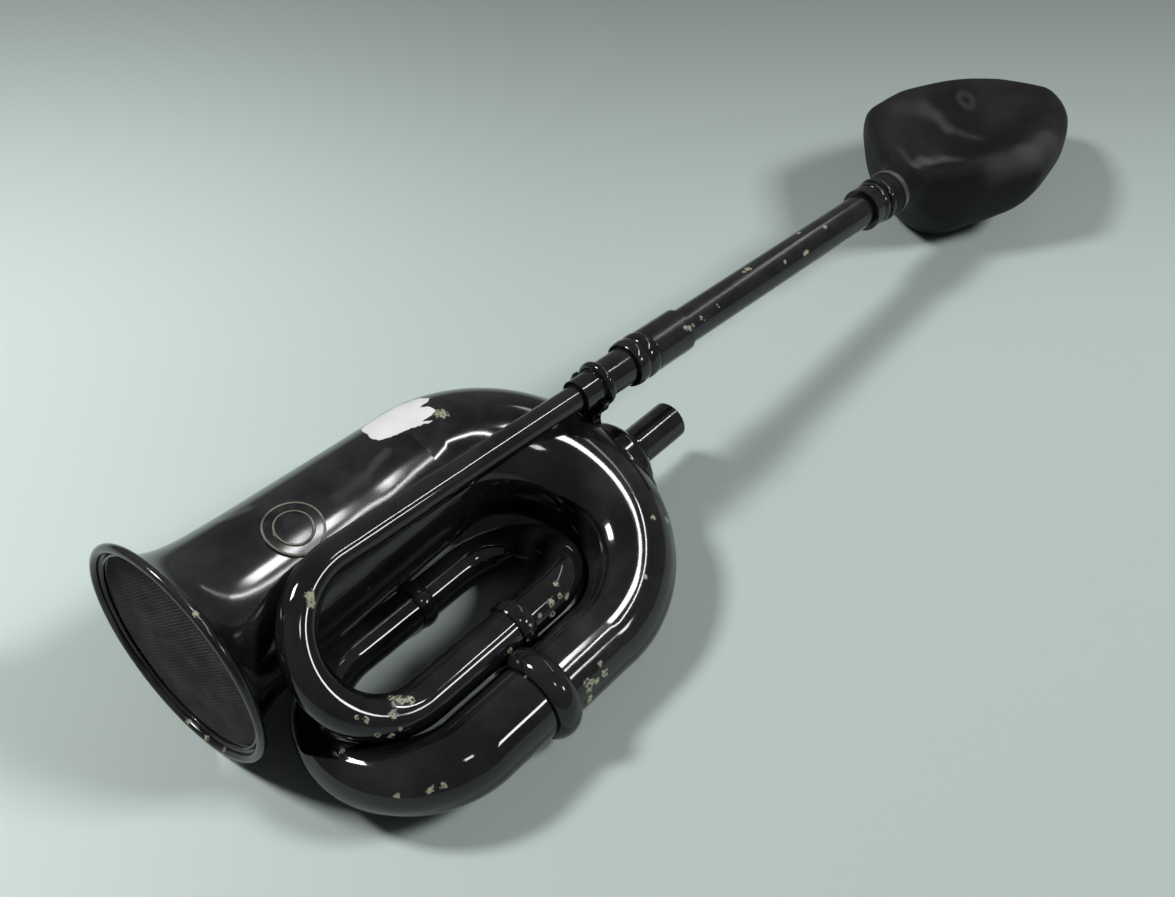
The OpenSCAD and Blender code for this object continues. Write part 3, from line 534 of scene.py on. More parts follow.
def applyModifier(piece, kind, **settings):
    modifier = piece.modifiers.new(kind.title(), kind)
    for key, value in settings.items():
        setattr(modifier, key, value)
    bpy.ops.object.select_all(action="DESELECT")
    pick(piece)
    bpy.ops.object.modifier_apply(modifier=modifier.name)


def thicken(piece, wall, smoothAngle):
    applyModifier(piece, "SOLIDIFY", thickness=wall * mm, offset=-1)
    smooth(smoothAngle)


def turned(name, outline, place, sides=128, edge=0.15):
    piece = drawOutline(name, outline)
    bpy.ops.mesh.select_all(action="SELECT")
    bpy.ops.mesh.spin(steps=sides, angle=2 * pi, center=(0, 0, 0), axis=(1, 0, 0), use_auto_merge=True)
    settle(piece, place)
    if edge:
        applyModifier(piece, "BEVEL", width=edge * mm, segments=2, limit_method="ANGLE",
                      angle_limit=radians(40))
        smooth()
    return piece


# outlines as (x, radius): a shallow arch, and square steps given as (radius, end)
def arc(x0, x1, r, h, steps=10):
    half = (x1 - x0) / 2
    radius = (h * h + half * half) / (2 * h)
    top = [x0 + (x1 - x0) * i / steps for i in range(steps + 1)]
    return [(x, r + h - radius + (radius * radius - (x - x0 - half) ** 2) ** 0.5) for x in top]


def stepped(x, *steps):
    outline = []
    for r, end in steps:
        outline += [(x, r), (end, r)]
        x = end
    return outline


def dress(piece, material, slotName, *nodes):
    piece.data.materials.clear()
    piece.data.materials.append(material)
    if nodes:
        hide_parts(*nodes)
    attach(piece, "horn")


def japanned(piece, node, coat="fittingPaint"):
    dress(piece, paint[coat], "japanned", node)


# a sheet rolled into a tube along its stations (x, y, heading, radius), uneven as if beaten by hand
def sweptTube(name, node, coat, stations, plane, sides=96, uneven=coil["uneven"]):
    rows = len(stations) - 1
    piece = newGrid(name, sides, rows)
    for vertex, around, row in gridSteps(piece, sides, rows):
        x, y, heading, r = stations[row]
        outward = Vector((-cos(around) * sin(heading), cos(around) * cos(heading), sin(around)))
        place = Vector((x, y, 0)) + outward * r
        vertex.co = (place + outward * (uneven * noise.noise(place * coil["lumps"]))) * mm
    settle(piece, plane, 60)
    thicken(piece, coil["wall"], 60)
    japanned(piece, node, coat)


def bendStations(x, r, direction, side, sweep, r0, r1, steps=72):
    stations = []
    for i in range(steps + 1):
        t = radians(sweep) * i / steps
        heading = atan2(side * sin(t), direction * cos(t))
        place = (x + direction * r * sin(t), side * r * (1 - cos(t)))
        stations.append((*place, heading, r0 + (r1 - r0) * i / steps))
    return stations


def straightTo(last, x, y, r, steps=16):
    lx, ly, heading, lr = last
    return [(lx + (x - lx) * i / steps, ly + (y - ly) * i / steps, heading, lr + (r - lr) * i / steps)
            for i in range(1, steps + 1)]


def leadTo(bend, x, heading):
    first = (x, 0.0, heading, bend[0][3])
    return [first] + straightTo(first, bend[0][0], 0.0, bend[0][3])[:-1]


def buildCoil():
    c, gap, innerR = coil, coil["endGap"], coil["innerR"]
    bend = bendStations(bendX, bendR, 1, -1, 180, c["bigStartR"], c["bigEndR"])
    start = [(c["bigStartX"], 0.0, 0.0, c["bigStartR"])]
    tail = straightTo(bend[-1], c["bigFerruleX"] + gap, lowerLeg[0], c["bigEndR"])
    sweptTube("bigBendTube", "big_bend", "bendPaint", start + bend + tail, onHorn, 128, c["bigUneven"])

    bend = bendStations(c["rearBendX"], rearR, -1, 1, 180, c["lowerR"], innerR)
    lead = leadTo(bend, c["bigFerruleX"] - gap, pi)
    tail = straightTo(bend[-1], c["innerFerruleX"] - gap, 2 * rearR, innerR)
    plane = bendPlane(lowerLeg, c["inner"])
    sweptTube("lowerLoopTube", "lower_loop", "loopPaint", lead + bend + tail, plane)

    bend = bendStations(c["innerBendX"], innerBendR, 1, 1, 180, innerR, innerR)
    lead = leadTo(bend, c["upperFerruleX"] + gap, 0.0)
    tail = straightTo(bend[-1], c["innerFerruleX"] + gap, 2 * innerBendR, innerR)
    plane = bendPlane(c["upper"], c["inner"])
    sweptTube("innerBendTube", "inner_bend", "loopPaint", lead + bend + tail, plane)

    bend = bendStations(c["smallBendX"], smallR, -1, 1, 180 + c["splay"], innerR, c["stemRootR"])
    lead = leadTo(bend, c["upperFerruleX"] - gap, pi)
    x, y = bend[-1][:2]
    along, down = cos(radians(c["splay"])), sin(radians(c["splay"]))
    taper, length = c["stemTaper"], c["stemLength"]
    root = straightTo(bend[-1], x + taper * along, y - taper * down, c["stemEndR"], 24)
    tail = straightTo(root[-1], x + length * along, y - length * down, c["stemEndR"], 6)
    sweptTube("upperLoopTube", "upper_loop", "loopPaint", lead + bend + root + tail, stemPlane)
    print("coil swept")


buildCoil()

# bell: flare, slow cone and rolled rim
bell = {
    "length": 128.0, "bodyR": 38.0, "smallR": 32.6, "flareLen": 9.0, "lapLen": 7.0, "lapGap": 0.2,
    "steps": 60, "crowding": 1.7, "outerFrom": 1.05, "innerFrom": 0.5, "rimTurn": (-76.0, 344.0),
    "rimSteps": 32, "dent": (-203.6, 26.6, 80.0), "dentDepth": 0.45, "dentReach": 11.0,
}


def bellRadius(s):
    flare = lay["rimRadius"] - bell["bodyR"] - coil["wall"] / 2
    cone = bell["smallR"] + (bell["bodyR"] - bell["smallR"]) * (1 - s / bell["length"])
    return cone + flare * exp(-s / bell["flareLen"])


def buildBell():
    wall, length, count = coil["wall"], bell["length"], bell["steps"]
    stations = [length * (i / count) ** bell["crowding"] for i in range(count + 1)]
    lapR = bell["smallR"] - wall - bell["lapGap"]
    lapEnd = length + bell["lapLen"]
    outer = [(s, bellRadius(s)) for s in stations if s > bell["outerFrom"]]
    lap = [(length, lapR), (lapEnd, lapR), (lapEnd, lapR - wall)]
    inner = [(s, bellRadius(s) - wall) for s in reversed(stations) if s > bell["innerFrom"]]
    first, sweep = bell["rimTurn"]  # from the inner face round the front to the outer
    turn = [radians(first - sweep * i / bell["rimSteps"]) for i in range(bell["rimSteps"] + 1)]
    rim = [(lay["rimBead"] * cos(a), lay["rimRadius"] + lay["rimBead"] * sin(a)) for a in turn]
    piece = turned("bellShell", outer + lap + inner + rim, onHorn, 192, 0)
    dent = Vector(bell["dent"]) * mm
    for vertex in piece.data.vertices:
        gap = (vertex.co - dent).length / mm / bell["dentReach"]
        x, y, z = offHorn @ vertex.co
        inward = onHorn.to_3x3() @ Vector((0, -y, -z)).normalized()
        vertex.co += inward * (bell["dentDepth"] * exp(-gap * gap) * mm)
    japanned(piece, "bell", "bellPaint")
    print("bell spun")


buildBell()

# torn scrap of paper stuck where bell and bend meet: its outline from above
scrap = {
    "outline": ((-186.3, 44.6), (-184.9, 41.7), (-180.5, 39.6), (-175.8, 38.4), (-171.0, 37.2),
        (-166.8, 35.4), (-162.3, 33.9), (-159.3, 33.9), (-163.0, 36.9), (-158.0, 37.0),
        (-154.3, 38.3), (-153.7, 42.1), (-157.0, 45.2), (-151.4, 46.0), (-148.7, 48.1),
        (-150.5, 53.5), (-160.0, 57.5), (-172.0, 59.5), (-181.0, 58.5), (-183.2, 55.5)),
    "cell": 0.4, "lift": 0.12, "thick": 0.12, "above": 200.0, "ragged": 0.5, "tears": 0.5,
}


def insideOutline(x, y, outline):
    inside = False
    for (ax, ay), (bx, by) in zip(outline, outline[1:] + outline[:1]):
        if (ay > y) != (by > y) and x < ax + (bx - ax) * (y - ay) / (by - ay):
            inside = not inside
    return inside


def buildScrap():
    bpy.context.view_layer.update()
    carriers = [bpy.data.objects["bellShell"], bpy.data.objects["bigBendTube"]]
    xs, ys = zip(*scrap["outline"])
    wide, deep = max(xs) - min(xs), max(ys) - min(ys)
    piece = newGrid("paperScrap", int(wide / scrap["cell"]), int(deep / scrap["cell"]))
    mode("EDIT")
    bpy.ops.mesh.select_mode(type="VERT")
    bpy.ops.mesh.select_all(action="DESELECT")
    mode("OBJECT")
    for vertex in piece.data.vertices:
        x, y = min(xs) + wide * (vertex.co.x + 0.5), min(ys) + deep * (vertex.co.y + 0.5)
        torn = noise.noise_vector(Vector((x, y, 0)) * scrap["tears"]) * scrap["ragged"]
        vertex.select = not insideOutline(x + torn.x, y + torn.y, scrap["outline"])
        over = Vector((x, y, scrap["above"])) * mm
        hits = [carrier.ray_cast(over, Vector((0, 0, -1))) for carrier in carriers]
        top = max(hit[1].z for hit in hits)
        vertex.co = Vector((x * mm, y * mm, top + scrap["lift"] * mm))
    mode("EDIT")
    bpy.ops.mesh.delete(type="VERT")
    settle(piece, Matrix.Identity(4), 60)
    applyModifier(piece, "SOLIDIFY", thickness=scrap["thick"] * mm, offset=1)
    dress(piece, finish["tornPaper"], None)
    print("scrap laid")


buildScrap()

# gauze: two sets of wires that pass over and under each other, and their ring (from, to, inner, outer)
gauze = {"pitch": 1.4, "wireR": 0.27, "radius": 46.2, "x": 2.2, "turn": 30.0,
         "ring": (0.75, 1.55, 46.58, 47.58)}


def buildGauze():
    pitch, wireR, radius = gauze["pitch"], gauze["wireR"], gauze["radius"]
    rows = int(radius / pitch)
    steps = 2 * int(2 * radius / pitch)
    piece = newGrid("wovenGauze", steps, 4)
    for vertex, turn, row in gridSteps(piece, steps, 4):  # one straight wire of four sides
        around = pi / 2 * row
        vertex.co = Vector((vertex.co.x * 2 * radius, wireR * cos(around), wireR * sin(around))) * mm
    applyModifier(piece, "ARRAY", count=2 * rows + 1, use_relative_offset=False, use_constant_offset=True,
                  constant_offset_displace=(0, pitch * mm, 0))
    for vertex in piece.data.vertices:  # each wire waves, and ends at the ring
        x, y, z = vertex.co / mm
        y -= rows * pitch
        row = round(y / pitch)
        limit = (radius ** 2 - (row * pitch) ** 2) ** 0.5
        x = max(-limit, min(limit, x))
        vertex.co = Vector((x, y, z + wireR * cos(pi * x / pitch) * (-1) ** row)) * mm
    mode("EDIT")
    weld()
    bpy.ops.mesh.fill_holes(sides=4)
    bpy.ops.mesh.select_all(action="SELECT")
    bpy.ops.mesh.duplicate()
    bpy.ops.transform.rotate(value=pi / 2, orient_axis="Z", center_override=(0, 0, 0))
    bpy.ops.transform.resize(value=(1, 1, -1), center_override=(0, 0, 0))
    turn = Matrix.Rotation(pi / 2, 4, "Y") @ Matrix.Rotation(radians(gauze["turn"]), 4, "Z")
    settle(piece, onHorn @ shifted(gauze["x"]) @ turn, 100)
    dress(piece, finish["gauzeWire"], "gauze", "gauze_screen")
    near, far, low, high = gauze["ring"]
    ring = turned("gauzeSpringRing", stepped(near, (high, far), (low, near)), onHorn, 160, 0.2)
    japanned(ring, "gauze_ring")
    print("gauze woven")


buildGauze()

# plain badge, bent to the bell, with two raised rings
badge = {"x": 58.0, "plate": 0.8, "rings": ((11.9, 13.0), (7.5, 8.6)), "ringTop": 1.3, "seat": 0.05,
         "crown": 0.25, "ringEdge": 0.25, "rimEdge": 0.2, "wornDepth": 0.2, "steps": (8, 5, 12)}


def buildBadge():
    (rimIn, rimOut), (innerIn, innerOut) = badge["rings"]
    plate, top, edge, seat = badge["plate"], badge["ringTop"], badge["ringEdge"], badge["seat"]
    crownSteps, laneSteps, underSteps = badge["steps"]
    shares = [i / crownSteps for i in range(crownSteps + 1)]
    middle = [(plate + badge["crown"] * (1 - share ** 2), innerIn * share) for share in shares]
    lane = [(plate, innerOut + (rimIn - innerOut) * i / laneSteps) for i in range(laneSteps + 1)]
    innerRing = [(top, innerIn + edge), (top, innerOut - edge)]
    rimRing = [(top, rimIn + edge), (top, rimOut - badge["rimEdge"]), (top - edge, rimOut), (seat, rimOut)]
    under = [(seat, rimOut * (1 - i / underSteps)) for i in range(1, underSteps + 1)]
    outline = middle + innerRing + lane + rimRing + under
    piece = turned("plainBadge", outline, Matrix.Identity(4), edge=0.12)
    for vertex in piece.data.vertices:
        h, p, q = vertex.co / mm
        skin = bellRadius(badge["x"] + p) + h
        vertex.co = onHorn @ (Vector((badge["x"] + p, q, (skin * skin - q * q) ** 0.5)) * mm)
    settle(piece, Matrix.Identity(4))
    japanned(piece, "badge", "badgePaint")
    piece.data.materials.append(finish["ringWear"])
    for face in piece.data.polygons:  # the paint is rubbed off the tops of the rings
        x, y, z = (offHorn @ face.center) / mm
        if hypot(y, z) - bellRadius(x) > top - badge["wornDepth"]:
            face.material_index = 1
    print("badge fitted")


buildBadge()

# beaded ferrules where the tubes meet
ferruleFit = {"wall": 0.75, "fit": 0.05, "step": 0.05}
# node, x, leg, bead, width, radii, and for some a leg that runs past, with its room
ferrules = {
    "bigFerrule": ("big_bend_ferrule", coil["bigFerruleX"], lowerLeg, 3.2, 13.0,
                   (coil["lowerR"], coil["bigEndR"]), (coil["upper"], coil["innerR"] + 0.3)),
    "innerFerrule": ("inner_ferrule", coil["innerFerruleX"], coil["inner"], 1.0, 8.0, (10.0, 10.0)),
    "upperFerrule": ("upper_ferrule", coil["upperFerruleX"], coil["upper"], 1.0, 8.0, (10.0, 10.0),
                     (lowerLeg, coil["bigEndR"] + 0.1)),
}


def fileBack(piece, leg, room):
    axis = onLeg(leg, 0.0)
    back = axis.inverted()
    for vertex in piece.data.vertices:
        x, y, z = back @ vertex.co
        reach = hypot(y, z)
        if reach < room * mm:
            vertex.co = axis @ Vector((x, y * room * mm / reach, z * room * mm / reach))


def buildFerrules():
    for name, (node, x, leg, bead, width, radii, *filed) in ferrules.items():
        a, b = (r + ferruleFit["fit"] for r in radii)
        half = width / 2
        sleeve = max(a, b) + ferruleFit["wall"] - ferruleFit["fit"]
        outline = arc(-half, half, sleeve, bead, 18)
        outline += [(half, b), (0.0, b), (-ferruleFit["step"], a), (-half, a)]
        piece = turned(name, outline, onLeg(leg, x), 144)
        for run in filed:
            fileBack(piece, *run)
        japanned(piece, node)
    print("ferrules set")


buildFerrules()

# collar, union and neck along the stem, as distances and radii; square steps as (radius, end)
stemParts = {
    "collar": {"start": 137.5, "beadStart": 149.0, "end": 154.0, "sleeve": 8.0, "shoulder": 8.6,
               "bead": 10.9, "bore": 6.05},
    "housing": {"start": 154.05, "steps": ((8.9, 193.05), (6.9, 163.05), (5.2, 162.05), (6.05, 154.05))},
    "ring": {"width": 7.0, "base": 10.7, "top": 11.3,
             "pieces": (("housingRing", "housing_ring", 170.05, 8.95),
                        ("socketRing", "socket_ring", 177.15, 9.925))},
    "socket": {"start": 177.15, "steps": ((9.875, 184.2), (10.8, 208.15), (9.05, 194.05), (8.2, 193.15),
                                          (8.95, 177.15))},
    "neck": {"start": 194.15, "end": 372.15, "radius": 9.0, "wall": 0.8, "steps": 60},
    "bulbFerrule": {"start": 359.95, "sleeveEnd": 366.55, "grooves": ((366.75, 367.55), (372.05, 372.95)),
                    "bead": (367.65, 371.95, 11.3, 0.5), "rim": (373.0, 376.95, 11.7, 0.7),
                    "sleeve": 11.5, "groove": 11.0, "steps": ((8.6, 396.95), (7.9, 372.15), (9.05, 359.95))},
    "band": {"start": 384.7, "end": 387.9, "inner": 11.73, "outer": 12.5, "crown": 0.25},
}


def turnOnStem(name, node, outline, edge, coat="fittingPaint", sides=128):
    japanned(turned(name, outline, onStem, sides, edge), node, coat)


def buildStemParts():
    p = stemParts["collar"]
    outline = stepped(p["start"], (p["sleeve"], p["beadStart"]))
    outline += arc(p["beadStart"], p["end"], p["shoulder"], p["bead"] - p["shoulder"], 16)
    outline += stepped(p["end"], (p["bore"], p["start"]))
    turnOnStem("stemCollar", "stem_collar", outline, 0.2)

    p = stemParts["housing"]
    turnOnStem("reedHousing", "reed_housing", stepped(p["start"], *p["steps"]), 0.2)

    p = stemParts["ring"]
    for name, node, start, bore in p["pieces"]:
        end = start + p["width"]
        outline = arc(start, end, p["base"], p["top"] - p["base"], 16) + stepped(end, (bore, start))
        turnOnStem(name, node, outline, 0.25)

    p = stemParts["socket"]
    turnOnStem("neckSocket", "neck_socket", stepped(p["start"], *p["steps"]), 0.3, "neckPaint")

    p = stemParts["neck"]
    stretch = [p["start"] + (p["end"] - p["start"]) * i / p["steps"] for i in range(p["steps"] + 1)]
    outline = [(s, p["radius"]) for s in stretch]
    outline += [(s, p["radius"] - p["wall"]) for s in reversed(stretch)]
    turnOnStem("neckTube", "neck_tube", outline, 0, "neckPaint", 112)

    p = stemParts["bulbFerrule"]
    lower, upper = ([(s, p["groove"]) for s in ends] for ends in p["grooves"])
    outline = stepped(p["start"], (p["sleeve"], p["sleeveEnd"])) + lower + arc(*p["bead"]) + upper
    outline += arc(*p["rim"]) + stepped(p["rim"][1], *p["steps"])
    turnOnStem("bulbFerrule", "bulb_ferrule", outline, 0.12)

    p = stemParts["band"]
    outline = arc(p["start"], p["end"], p["outer"] - p["crown"], p["crown"], 8)
    outline += stepped(p["end"], (p["inner"], p["start"]))
    dress(turned("neckBand", outline, onStem), finish["bandMetal"], "band", "bulb_band")
    print("stem parts turned")


buildStemParts()

# web under the collar, and the boss and spigot on the big bend
web = {"start": 145.0, "thick": 6.0, "width": 21.0, "waist": 2.0, "hollow": 9.0, "round": 0.9, "sink": 0.4,
       "cuts": 23, "notchStart": 148.9, "beadRoom": 11.0, "firstGuess": -20.0}
boss = {"leg": (-53.5, 0.0), "face": 215.9, "radii": (18.0, 15.0, 12.0), "step": 2.8, "root": 204.9,
        "bore": 6.05, "boreDepth": 5.1, "foot": 21.5, "footTop": 211.5, "footRows": 10,
        "footRound": ((1.4, 0.4), (2.4, 1.3), (3.1, 2.5)), "ridges": 4, "ridgeInset": 0.4,
        "ridgeFoot": 0.15, "ridgeTop": 0.55, "sink": 0.3}
skirt = {"reach": (15.0, 27.0), "ridges": 3, "ridgeHeight": 0.5, "height": 1.3, "drop": 0.25, "wall": 0.6,
         "ridged": (0.3, 0.97), "curve": 2.5, "fade": 8, "sides": 120, "rows": 36}
spigot = {"end": 252.05, "radius": 9.5, "chamfer": 0.8, "tenon": 6.0, "tenonStart": 216.6, "seat": 221.55,
          "seatEdge": 0.3, "centre": (2.2, 1.6), "rows": 9, "firstRow": 1, "rowGap": 3.0}


def bendRadiusAt(turn):
    return coil["bigStartR"] + (coil["bigEndR"] - coil["bigStartR"]) * turn / pi


def bendTop(x, y):
    dx, dy = x - bendX, y + bendR
    r = bendRadiusAt(atan2(dx, dy))
    return max(0.0, r * r - (hypot(dx, dy) - bendR) ** 2) ** 0.5


def bendFront(y, z):
    x = bendX + bendR
    dy = y + bendR
    for step in range(8):
        r = bendRadiusAt(atan2(x - bendX, dy))
        reach = bendR + max(0.0, r * r - z * z) ** 0.5
        x = bendX + (reach * reach - dy * dy) ** 0.5
    return x


def buildWeb():
    webPlace = onStem @ Matrix.Rotation(-stemLean, 4, "X")
    toHorn = offHorn @ webPlace
    piece = newPiece("collarWeb", bpy.ops.mesh.primitive_cube_add, size=1)
    mode("EDIT")
    bpy.ops.mesh.subdivide(number_cuts=web["cuts"])
    mode("OBJECT")
    half, thick, edge = web["width"] / 2, web["thick"], web["round"]
    hollow, collarR = web["hollow"], stemParts["collar"]["sleeve"]
    for vertex in piece.data.vertices:
        a, b, c = vertex.co
        x = web["start"] + thick * (a + 0.5)
        y = 2 * b * half
        fitR = web["beadRoom"] if x > web["notchStart"] else collarR
        top = -max(0.0, fitR ** 2 - y * y) ** 0.5
        bottom = web["firstGuess"]
        for step in range(6):
            spot = toHorn @ (Vector((x, y, bottom)) * mm) / mm
            bottom -= spot.z - bendTop(spot.x, spot.y) + web["sink"]
        z = top + (bottom - top) * (0.5 - c)
        gap = hollow ** 2 - (z + collarR + hollow / 2) ** 2
        wide = min(half, half + hollow - web["waist"] - gap ** 0.5) if gap > 0 else half
        y = 2 * b * wide
        side, depth = wide - abs(y), thick / 2 - abs(thick * a)
        if side < edge and depth < edge:  # rounded upright edges
            dx, dy = edge - depth, edge - side
            reach = hypot(dx, dy)
            if reach > edge:
                dx, dy = dx * edge / reach, dy * edge / reach
            x = web["start"] + thick / 2 + copysign(thick / 2 - edge + dx, a)
            y = copysign(wide - edge + dy, b)
        vertex.co = Vector((x, y, z)) * mm
    settle(piece, webPlace)
    japanned(piece, "collar_bracket")


def buildSkirt():  # the boss's skirt, laid round the bend with a few ridges
    near, far = skirt["reach"]
    first, last = skirt["ridged"]
    sides, rows = skirt["sides"], skirt["rows"]
    piece = newGrid("bossSkirt", sides, rows)
    for vertex, around, row in gridSteps(piece, sides, rows):
        t = row / rows
        reach = near + (far - near) * t
        ridge = skirt["ridgeHeight"] * sin(2 * pi * skirt["ridges"] * t) if first < t < last else 0.0
        rise = skirt["height"] * (1 - t ** skirt["curve"]) - skirt["drop"] * t
        rise += ridge * min(1.0, skirt["fade"] * (1 - t))
        turn = pi / 2 - reach * cos(around) / (bendR + bendRadiusAt(pi / 2))
        r = bendRadiusAt(turn)
        over = reach * sin(around) / r
        out = bendR + (r + rise) * cos(over)
        place = (bendX + out * sin(turn), out * cos(turn) - bendR, (r + rise) * sin(over))
        vertex.co = Vector(place) * mm
    settle(piece, onHorn)
    thicken(piece, skirt["wall"], 40)


def buildBoss():
    r0, r1, r2 = boss["radii"]
    root, face, step, rows = boss["root"], boss["face"], boss["step"], boss["footRows"]
    foot, footTop = boss["foot"], boss["footTop"]
    outline = [(root + (footTop - root) * i / rows, foot) for i in range(rows + 1)]
    outline += [(footTop + up, foot - drawn) for up, drawn in boss["footRound"]] + [(face, r0)]
    outer = r0 - boss["ridgeInset"]
    half = (outer - r1) / boss["ridges"] / 2
    low, high = face + boss["ridgeFoot"], face + boss["ridgeTop"]
    for i in range(boss["ridges"]):  # fine ridges on the boss's upper face
        start = outer - 2 * half * i
        outline += [(low, start), (high, start - half / 2), (low, start - half)]
    top = face + 2 * step
    floor = top - boss["boreDepth"]
    outline += stepped(face, (r1, face + step), (r2, top), (boss["bore"], floor), (0.0, root))
    outline += [(root, foot * i / rows) for i in range(1, rows)]
    piece = turned("spigotBoss", outline, shifted(0, *boss["leg"]), 144, 0.25)
    for vertex in piece.data.vertices:  # its foot follows the bend's skin
        x, y, z = vertex.co / mm
        skin = bendFront(y, z) - boss["sink"]
        if x < skin:
            vertex.co.x = skin * mm
    settle(piece, onHorn)
    buildSkirt()
    pick(piece)
    bpy.ops.object.join()
    japanned(piece, "spigot_boss")


def buildSpigot():
    s, end, seat, radius = spigot, spigot["end"], spigot["seat"], spigot["radius"]
    centreR, centreDepth = s["centre"]
    outline = [(s["tenonStart"], 0.0), (s["tenonStart"], s["tenon"]), (seat, s["tenon"]),
               (seat, radius - s["seatEdge"]), (seat + s["seatEdge"], radius)]
    outline += [(seat + s["firstRow"] + i * s["rowGap"], radius) for i in range(s["rows"])]
    outline += [(end - s["chamfer"], radius), (end, radius - s["chamfer"]), (end, centreR),
                (end - centreDepth, 0.0)]
    piece = turned("mountingSpigot", outline, onLeg(boss["leg"], 0.0), 112, 0.12)
    japanned(piece, "mounting_spigot")
    print("web and spigot made")


buildWeb()
buildBoss()
buildSpigot()

# rubber bulb whose upper side has fallen in; each side's reach, and where along the bulb it comes
bulb = {
    "start": 377.05, "length": 175.0, "neckLen": 22.0, "neckR": 11.683, "root": 16.0, "fade": 60.0,
    "least": 0.001, "blend": 4, "droop": -0.03, "left": (56.0, 66.0), "right": (47.0, 88.0),
    "top": (32.0, 87.0), "under": (46.4, 56.0), "fullness": (1.15, 1.65), "dish": 30.0, "dishCurve": 4,
    "endWall": 4.0, "wall": 3.0, "sides": 160, "rows": 120, "keep": 0.88, "uneven": 0.5, "lumps": 0.06,
    "looseFrom": 25.0, "nearby": 0.02,
}
neckLen = bulb["neckLen"]


def swell(u, r, at):
    before = u < at
    t = (at - u) / (at - bulb["root"]) if before else (u - at) / (bulb["length"] - at)
    n = bulb["fullness"][0 if before else 1]
    return r * max(0.0, 1 - min(t, 1.0) ** n) ** (1 / n)


def bulbReach(u, r, at):
    neck = bulb["neckR"] * max(bulb["least"], 1 - max(0.0, u - neckLen) / bulb["fade"])
    n = bulb["blend"]
    return (neck ** n + swell(u, r, at) ** n) ** (1 / n)


def bulbPoint(u, a):
    c, s = cos(a), sin(a)
    y = bulbReach(u, *(bulb["left"] if c > 0 else bulb["right"]))
    z = bulbReach(u, *(bulb["top"] if s > 0 else bulb["under"]))
    share = (u - neckLen) / (bulb["length"] - neckLen - bulb["endWall"])
    fall = bulb["dish"] * sin(pi * max(0.0, min(1.0, share))) * max(0.0, s) ** bulb["dishCurve"]
    return Vector((u, y * c + bulb["droop"] * max(0.0, u - neckLen), z * s - fall))


def buildBulb():
    level = Matrix.Rotation(-(stemLean + radians(lay["roll"])), 4, "X")
    place = onStem @ level @ shifted(bulb["start"])
    sides, rows, nearby = bulb["sides"], bulb["rows"], bulb["nearby"]
    piece = newGrid("rubberBulb", sides, rows)
    for vertex, a, row in gridSteps(piece, sides, rows):
        u = bulb["length"] * (1 - cos(pi * row / rows)) / 2
        point = bulbPoint(u, a)
        if row < rows:
            loose = min(1.0, max(0.0, (u - neckLen) / bulb["looseFrom"]))
            along = bulbPoint(u, a + nearby) - bulbPoint(u, a - nearby)
            outward = Vector((0, along.z, -along.y)).normalized()
            point += outward * (bulb["uneven"] * loose * noise.noise(point * bulb["lumps"]))
        vertex.co = point * mm
    settle(piece, place, 60)
    thicken(piece, bulb["wall"], 60)
    dress(piece, agedRubber, "rubber", "rubber_bulb")
    along = (onStem.to_3x3() @ Vector((1, 0, 0))).normalized()
    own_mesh(piece)
    print("bulb formed")


buildBulb()

# finishes of the pieces inside
insides = {"rim_wire": "plainSteel", "reed_shallot": "reedBrass", "reed_tongue": "reedBrass",
           "reed_clamp": "reedBrass", "reed_screws": "plainSteel"}
for node, look in insides.items():
    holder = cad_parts[node]
    holder.data.materials.clear()
    holder.data.materials.append(finish[look])

# floor, lamps and room light; the strips show only in the gloss of the paint
bellPieces = ("bellShell", "bigBendTube", "plainBadge")
stemPieces = ("upperLoopTube", "stemCollar", "reedHousing", "housingRing", "socketRing", "neckSocket",
              "neckTube", "bulbFerrule", "collarWeb", "spigotBoss", "mountingSpigot")
room = {
    # the floor's second colour, with the fall and dim ramps, is painted shade
    "floorSize": 8.0, "floorPale": (0.672, 0.785, 0.742), "floorPaintedShade": (0.137, 0.16, 0.151),
    "floorRoughness": 0.6, "away": (0.75, 0.66, 0.0), "fall": (0.02, 0.5, 0.18),
    "across": (0.655, -0.755, 0.0), "dim": (-0.42, -0.05, 0.70), "world": 0.03, "backdrop": 0.2,
    "lamps": {  # place, size, watts, then whether it shows in gloss and on matt
        "overheadLamp": ((0.2, 0.2, 2.0), (3.0, 3.0), 1.2, False),
        "mainLamp": ((-0.8, 1.0, 1.6), (0.35, 0.35), 25.0),
        "windowLamp": ((1.3, -1.68, 2.1), (0.7, 0.7), 54.0, False),
        "squareLamp": ((-0.2, -1.1, 1.6), (0.2, 0.2), 2.0, True, False),
    },
    "strips": {  # ends, width, watts, then the pieces it lights if not all
        "bendStrip": (((0.44, -0.38, 1.6), (0.76, -0.38, 1.6)), 0.34, 11.0, bellPieces),
        "crossStrip": (((0.66, -1.04, 1.6), (1.3, -0.4, 1.6)), 0.08, 9.0, bellPieces + stemPieces),
        "lowStrip": (((0.83, -2.25, 1.6), (1.33, -2.25, 1.6)), 0.5, 18.0),
        "farStrip": (((1.35, -0.35, 1.6), (2.4, 0.95, 1.6)), 0.14, 4.0),
    },
}


def paintedShadeAlong(tree, direction, start, end, least):  # painted shade: the table top's colour darkens along this direction, away from the window
    return softRamp(measure("DOT_PRODUCT", objectPlace(tree), direction), start, end, 1.0, least)


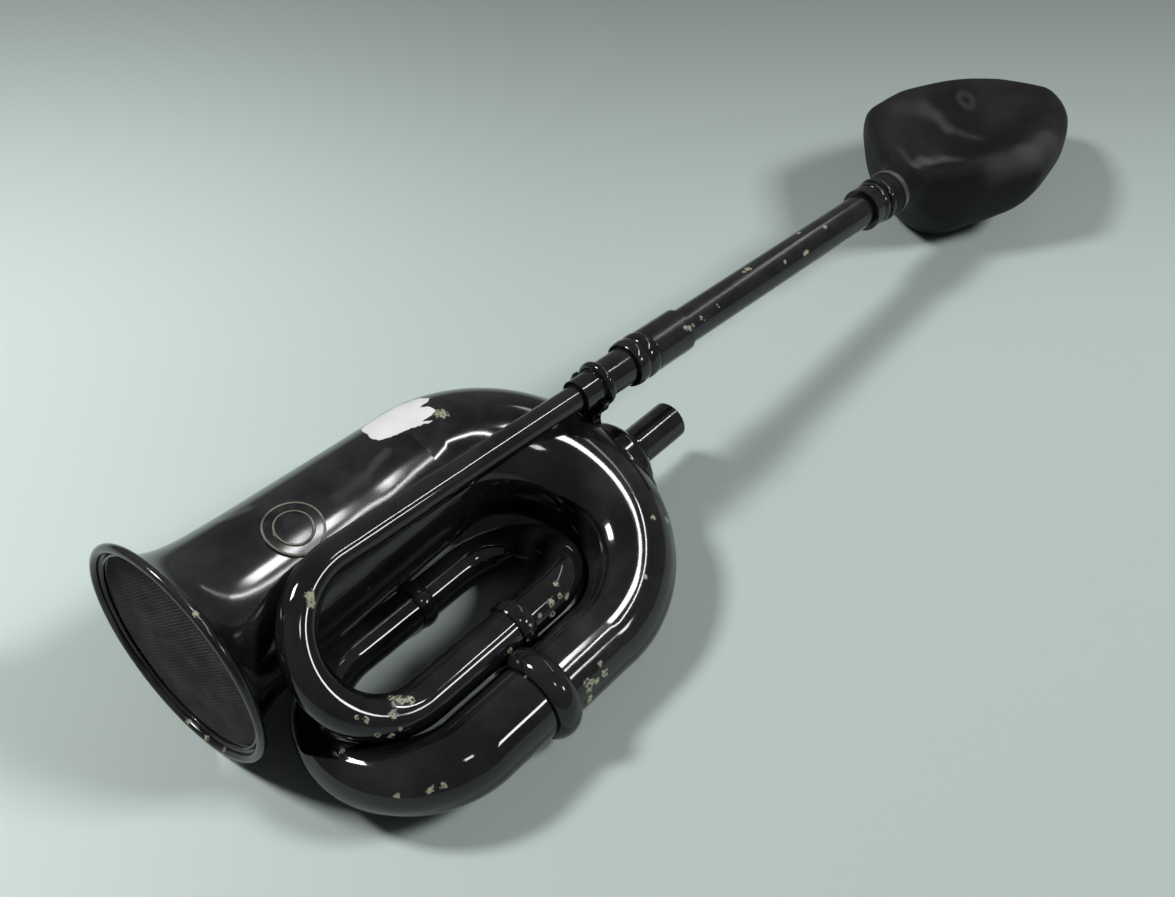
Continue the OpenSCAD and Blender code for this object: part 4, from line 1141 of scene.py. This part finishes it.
def buildFloor():
    floor = newPiece("paleFloor", bpy.ops.mesh.primitive_plane_add, size=room["floorSize"])
    material, tree, shader = newMaterial("paleTable")
    # painted shade: the floor's colour darkens away from the camera and towards the right
    lit = calculate("MULTIPLY", paintedShadeAlong(tree, room["away"], *room["fall"]),
                    paintedShadeAlong(tree, room["across"], *room["dim"]))
    feed(shader, {"Base Color": mixColours(lit, room["floorPaintedShade"], room["floorPale"]),
                  "Roughness": room["floorRoughness"]})
    floor.data.materials.append(material)


def addLamp(name, place, size, watts, glossy=True, diffuse=True):
    lamp = bpy.data.lights.new(name, "AREA")
    lamp.shape = "RECTANGLE"
    lamp.size, lamp.size_y = size
    lamp.energy = watts
    holder = newHolder(lamp)
    holder.location = place
    holder.rotation_euler = (-Vector(place)).to_track_quat("-Z", "Y").to_euler()
    holder.visible_glossy = glossy
    holder.visible_diffuse = diffuse
    return holder


def addStrip(name, ends, width, watts, lights=()):
    a, b = (Vector(v) for v in ends)
    lamp = addLamp(name, (a + b) / 2, ((b - a).length, width), watts, diffuse=False)
    along, up = (b - a).normalized(), Vector((0, 0, 1))
    turn = Matrix((along, up.cross(along), up)).transposed().to_4x4()
    lamp.matrix_world = Matrix.Translation((a + b) / 2) @ turn
    if lights:
        lit = bpy.data.collections.new(name + "Lit")
        for piece in lights:
            lit.objects.link(bpy.data.objects[piece])
        lamp.light_linking.receiver_collection = lit


def buildLight():
    world = bpy.data.worlds.new("roomLight")
    world.use_nodes = True
    path = addNode(world.node_tree, "LightPath")
    mirrored = larger(path["Is Glossy Ray"], path["Is Transmission Ray"])
    seen = larger(path["Is Camera Ray"], mirrored)
    feed(world.node_tree.nodes["Background"],
         {"Color": (1.0, 1.0, 1.0, 1.0), "Strength": ramp(seen, 0.0, 1.0, room["world"], room["backdrop"])})
    bpy.context.scene.world = world
    for name, lamp in room["lamps"].items():
        addLamp(name, *lamp)
    for name, strip in room["strips"].items():
        addStrip(name, *strip)


buildFloor()
buildLight()
print("floor and lamps set")

bpy.context.view_layer.update()
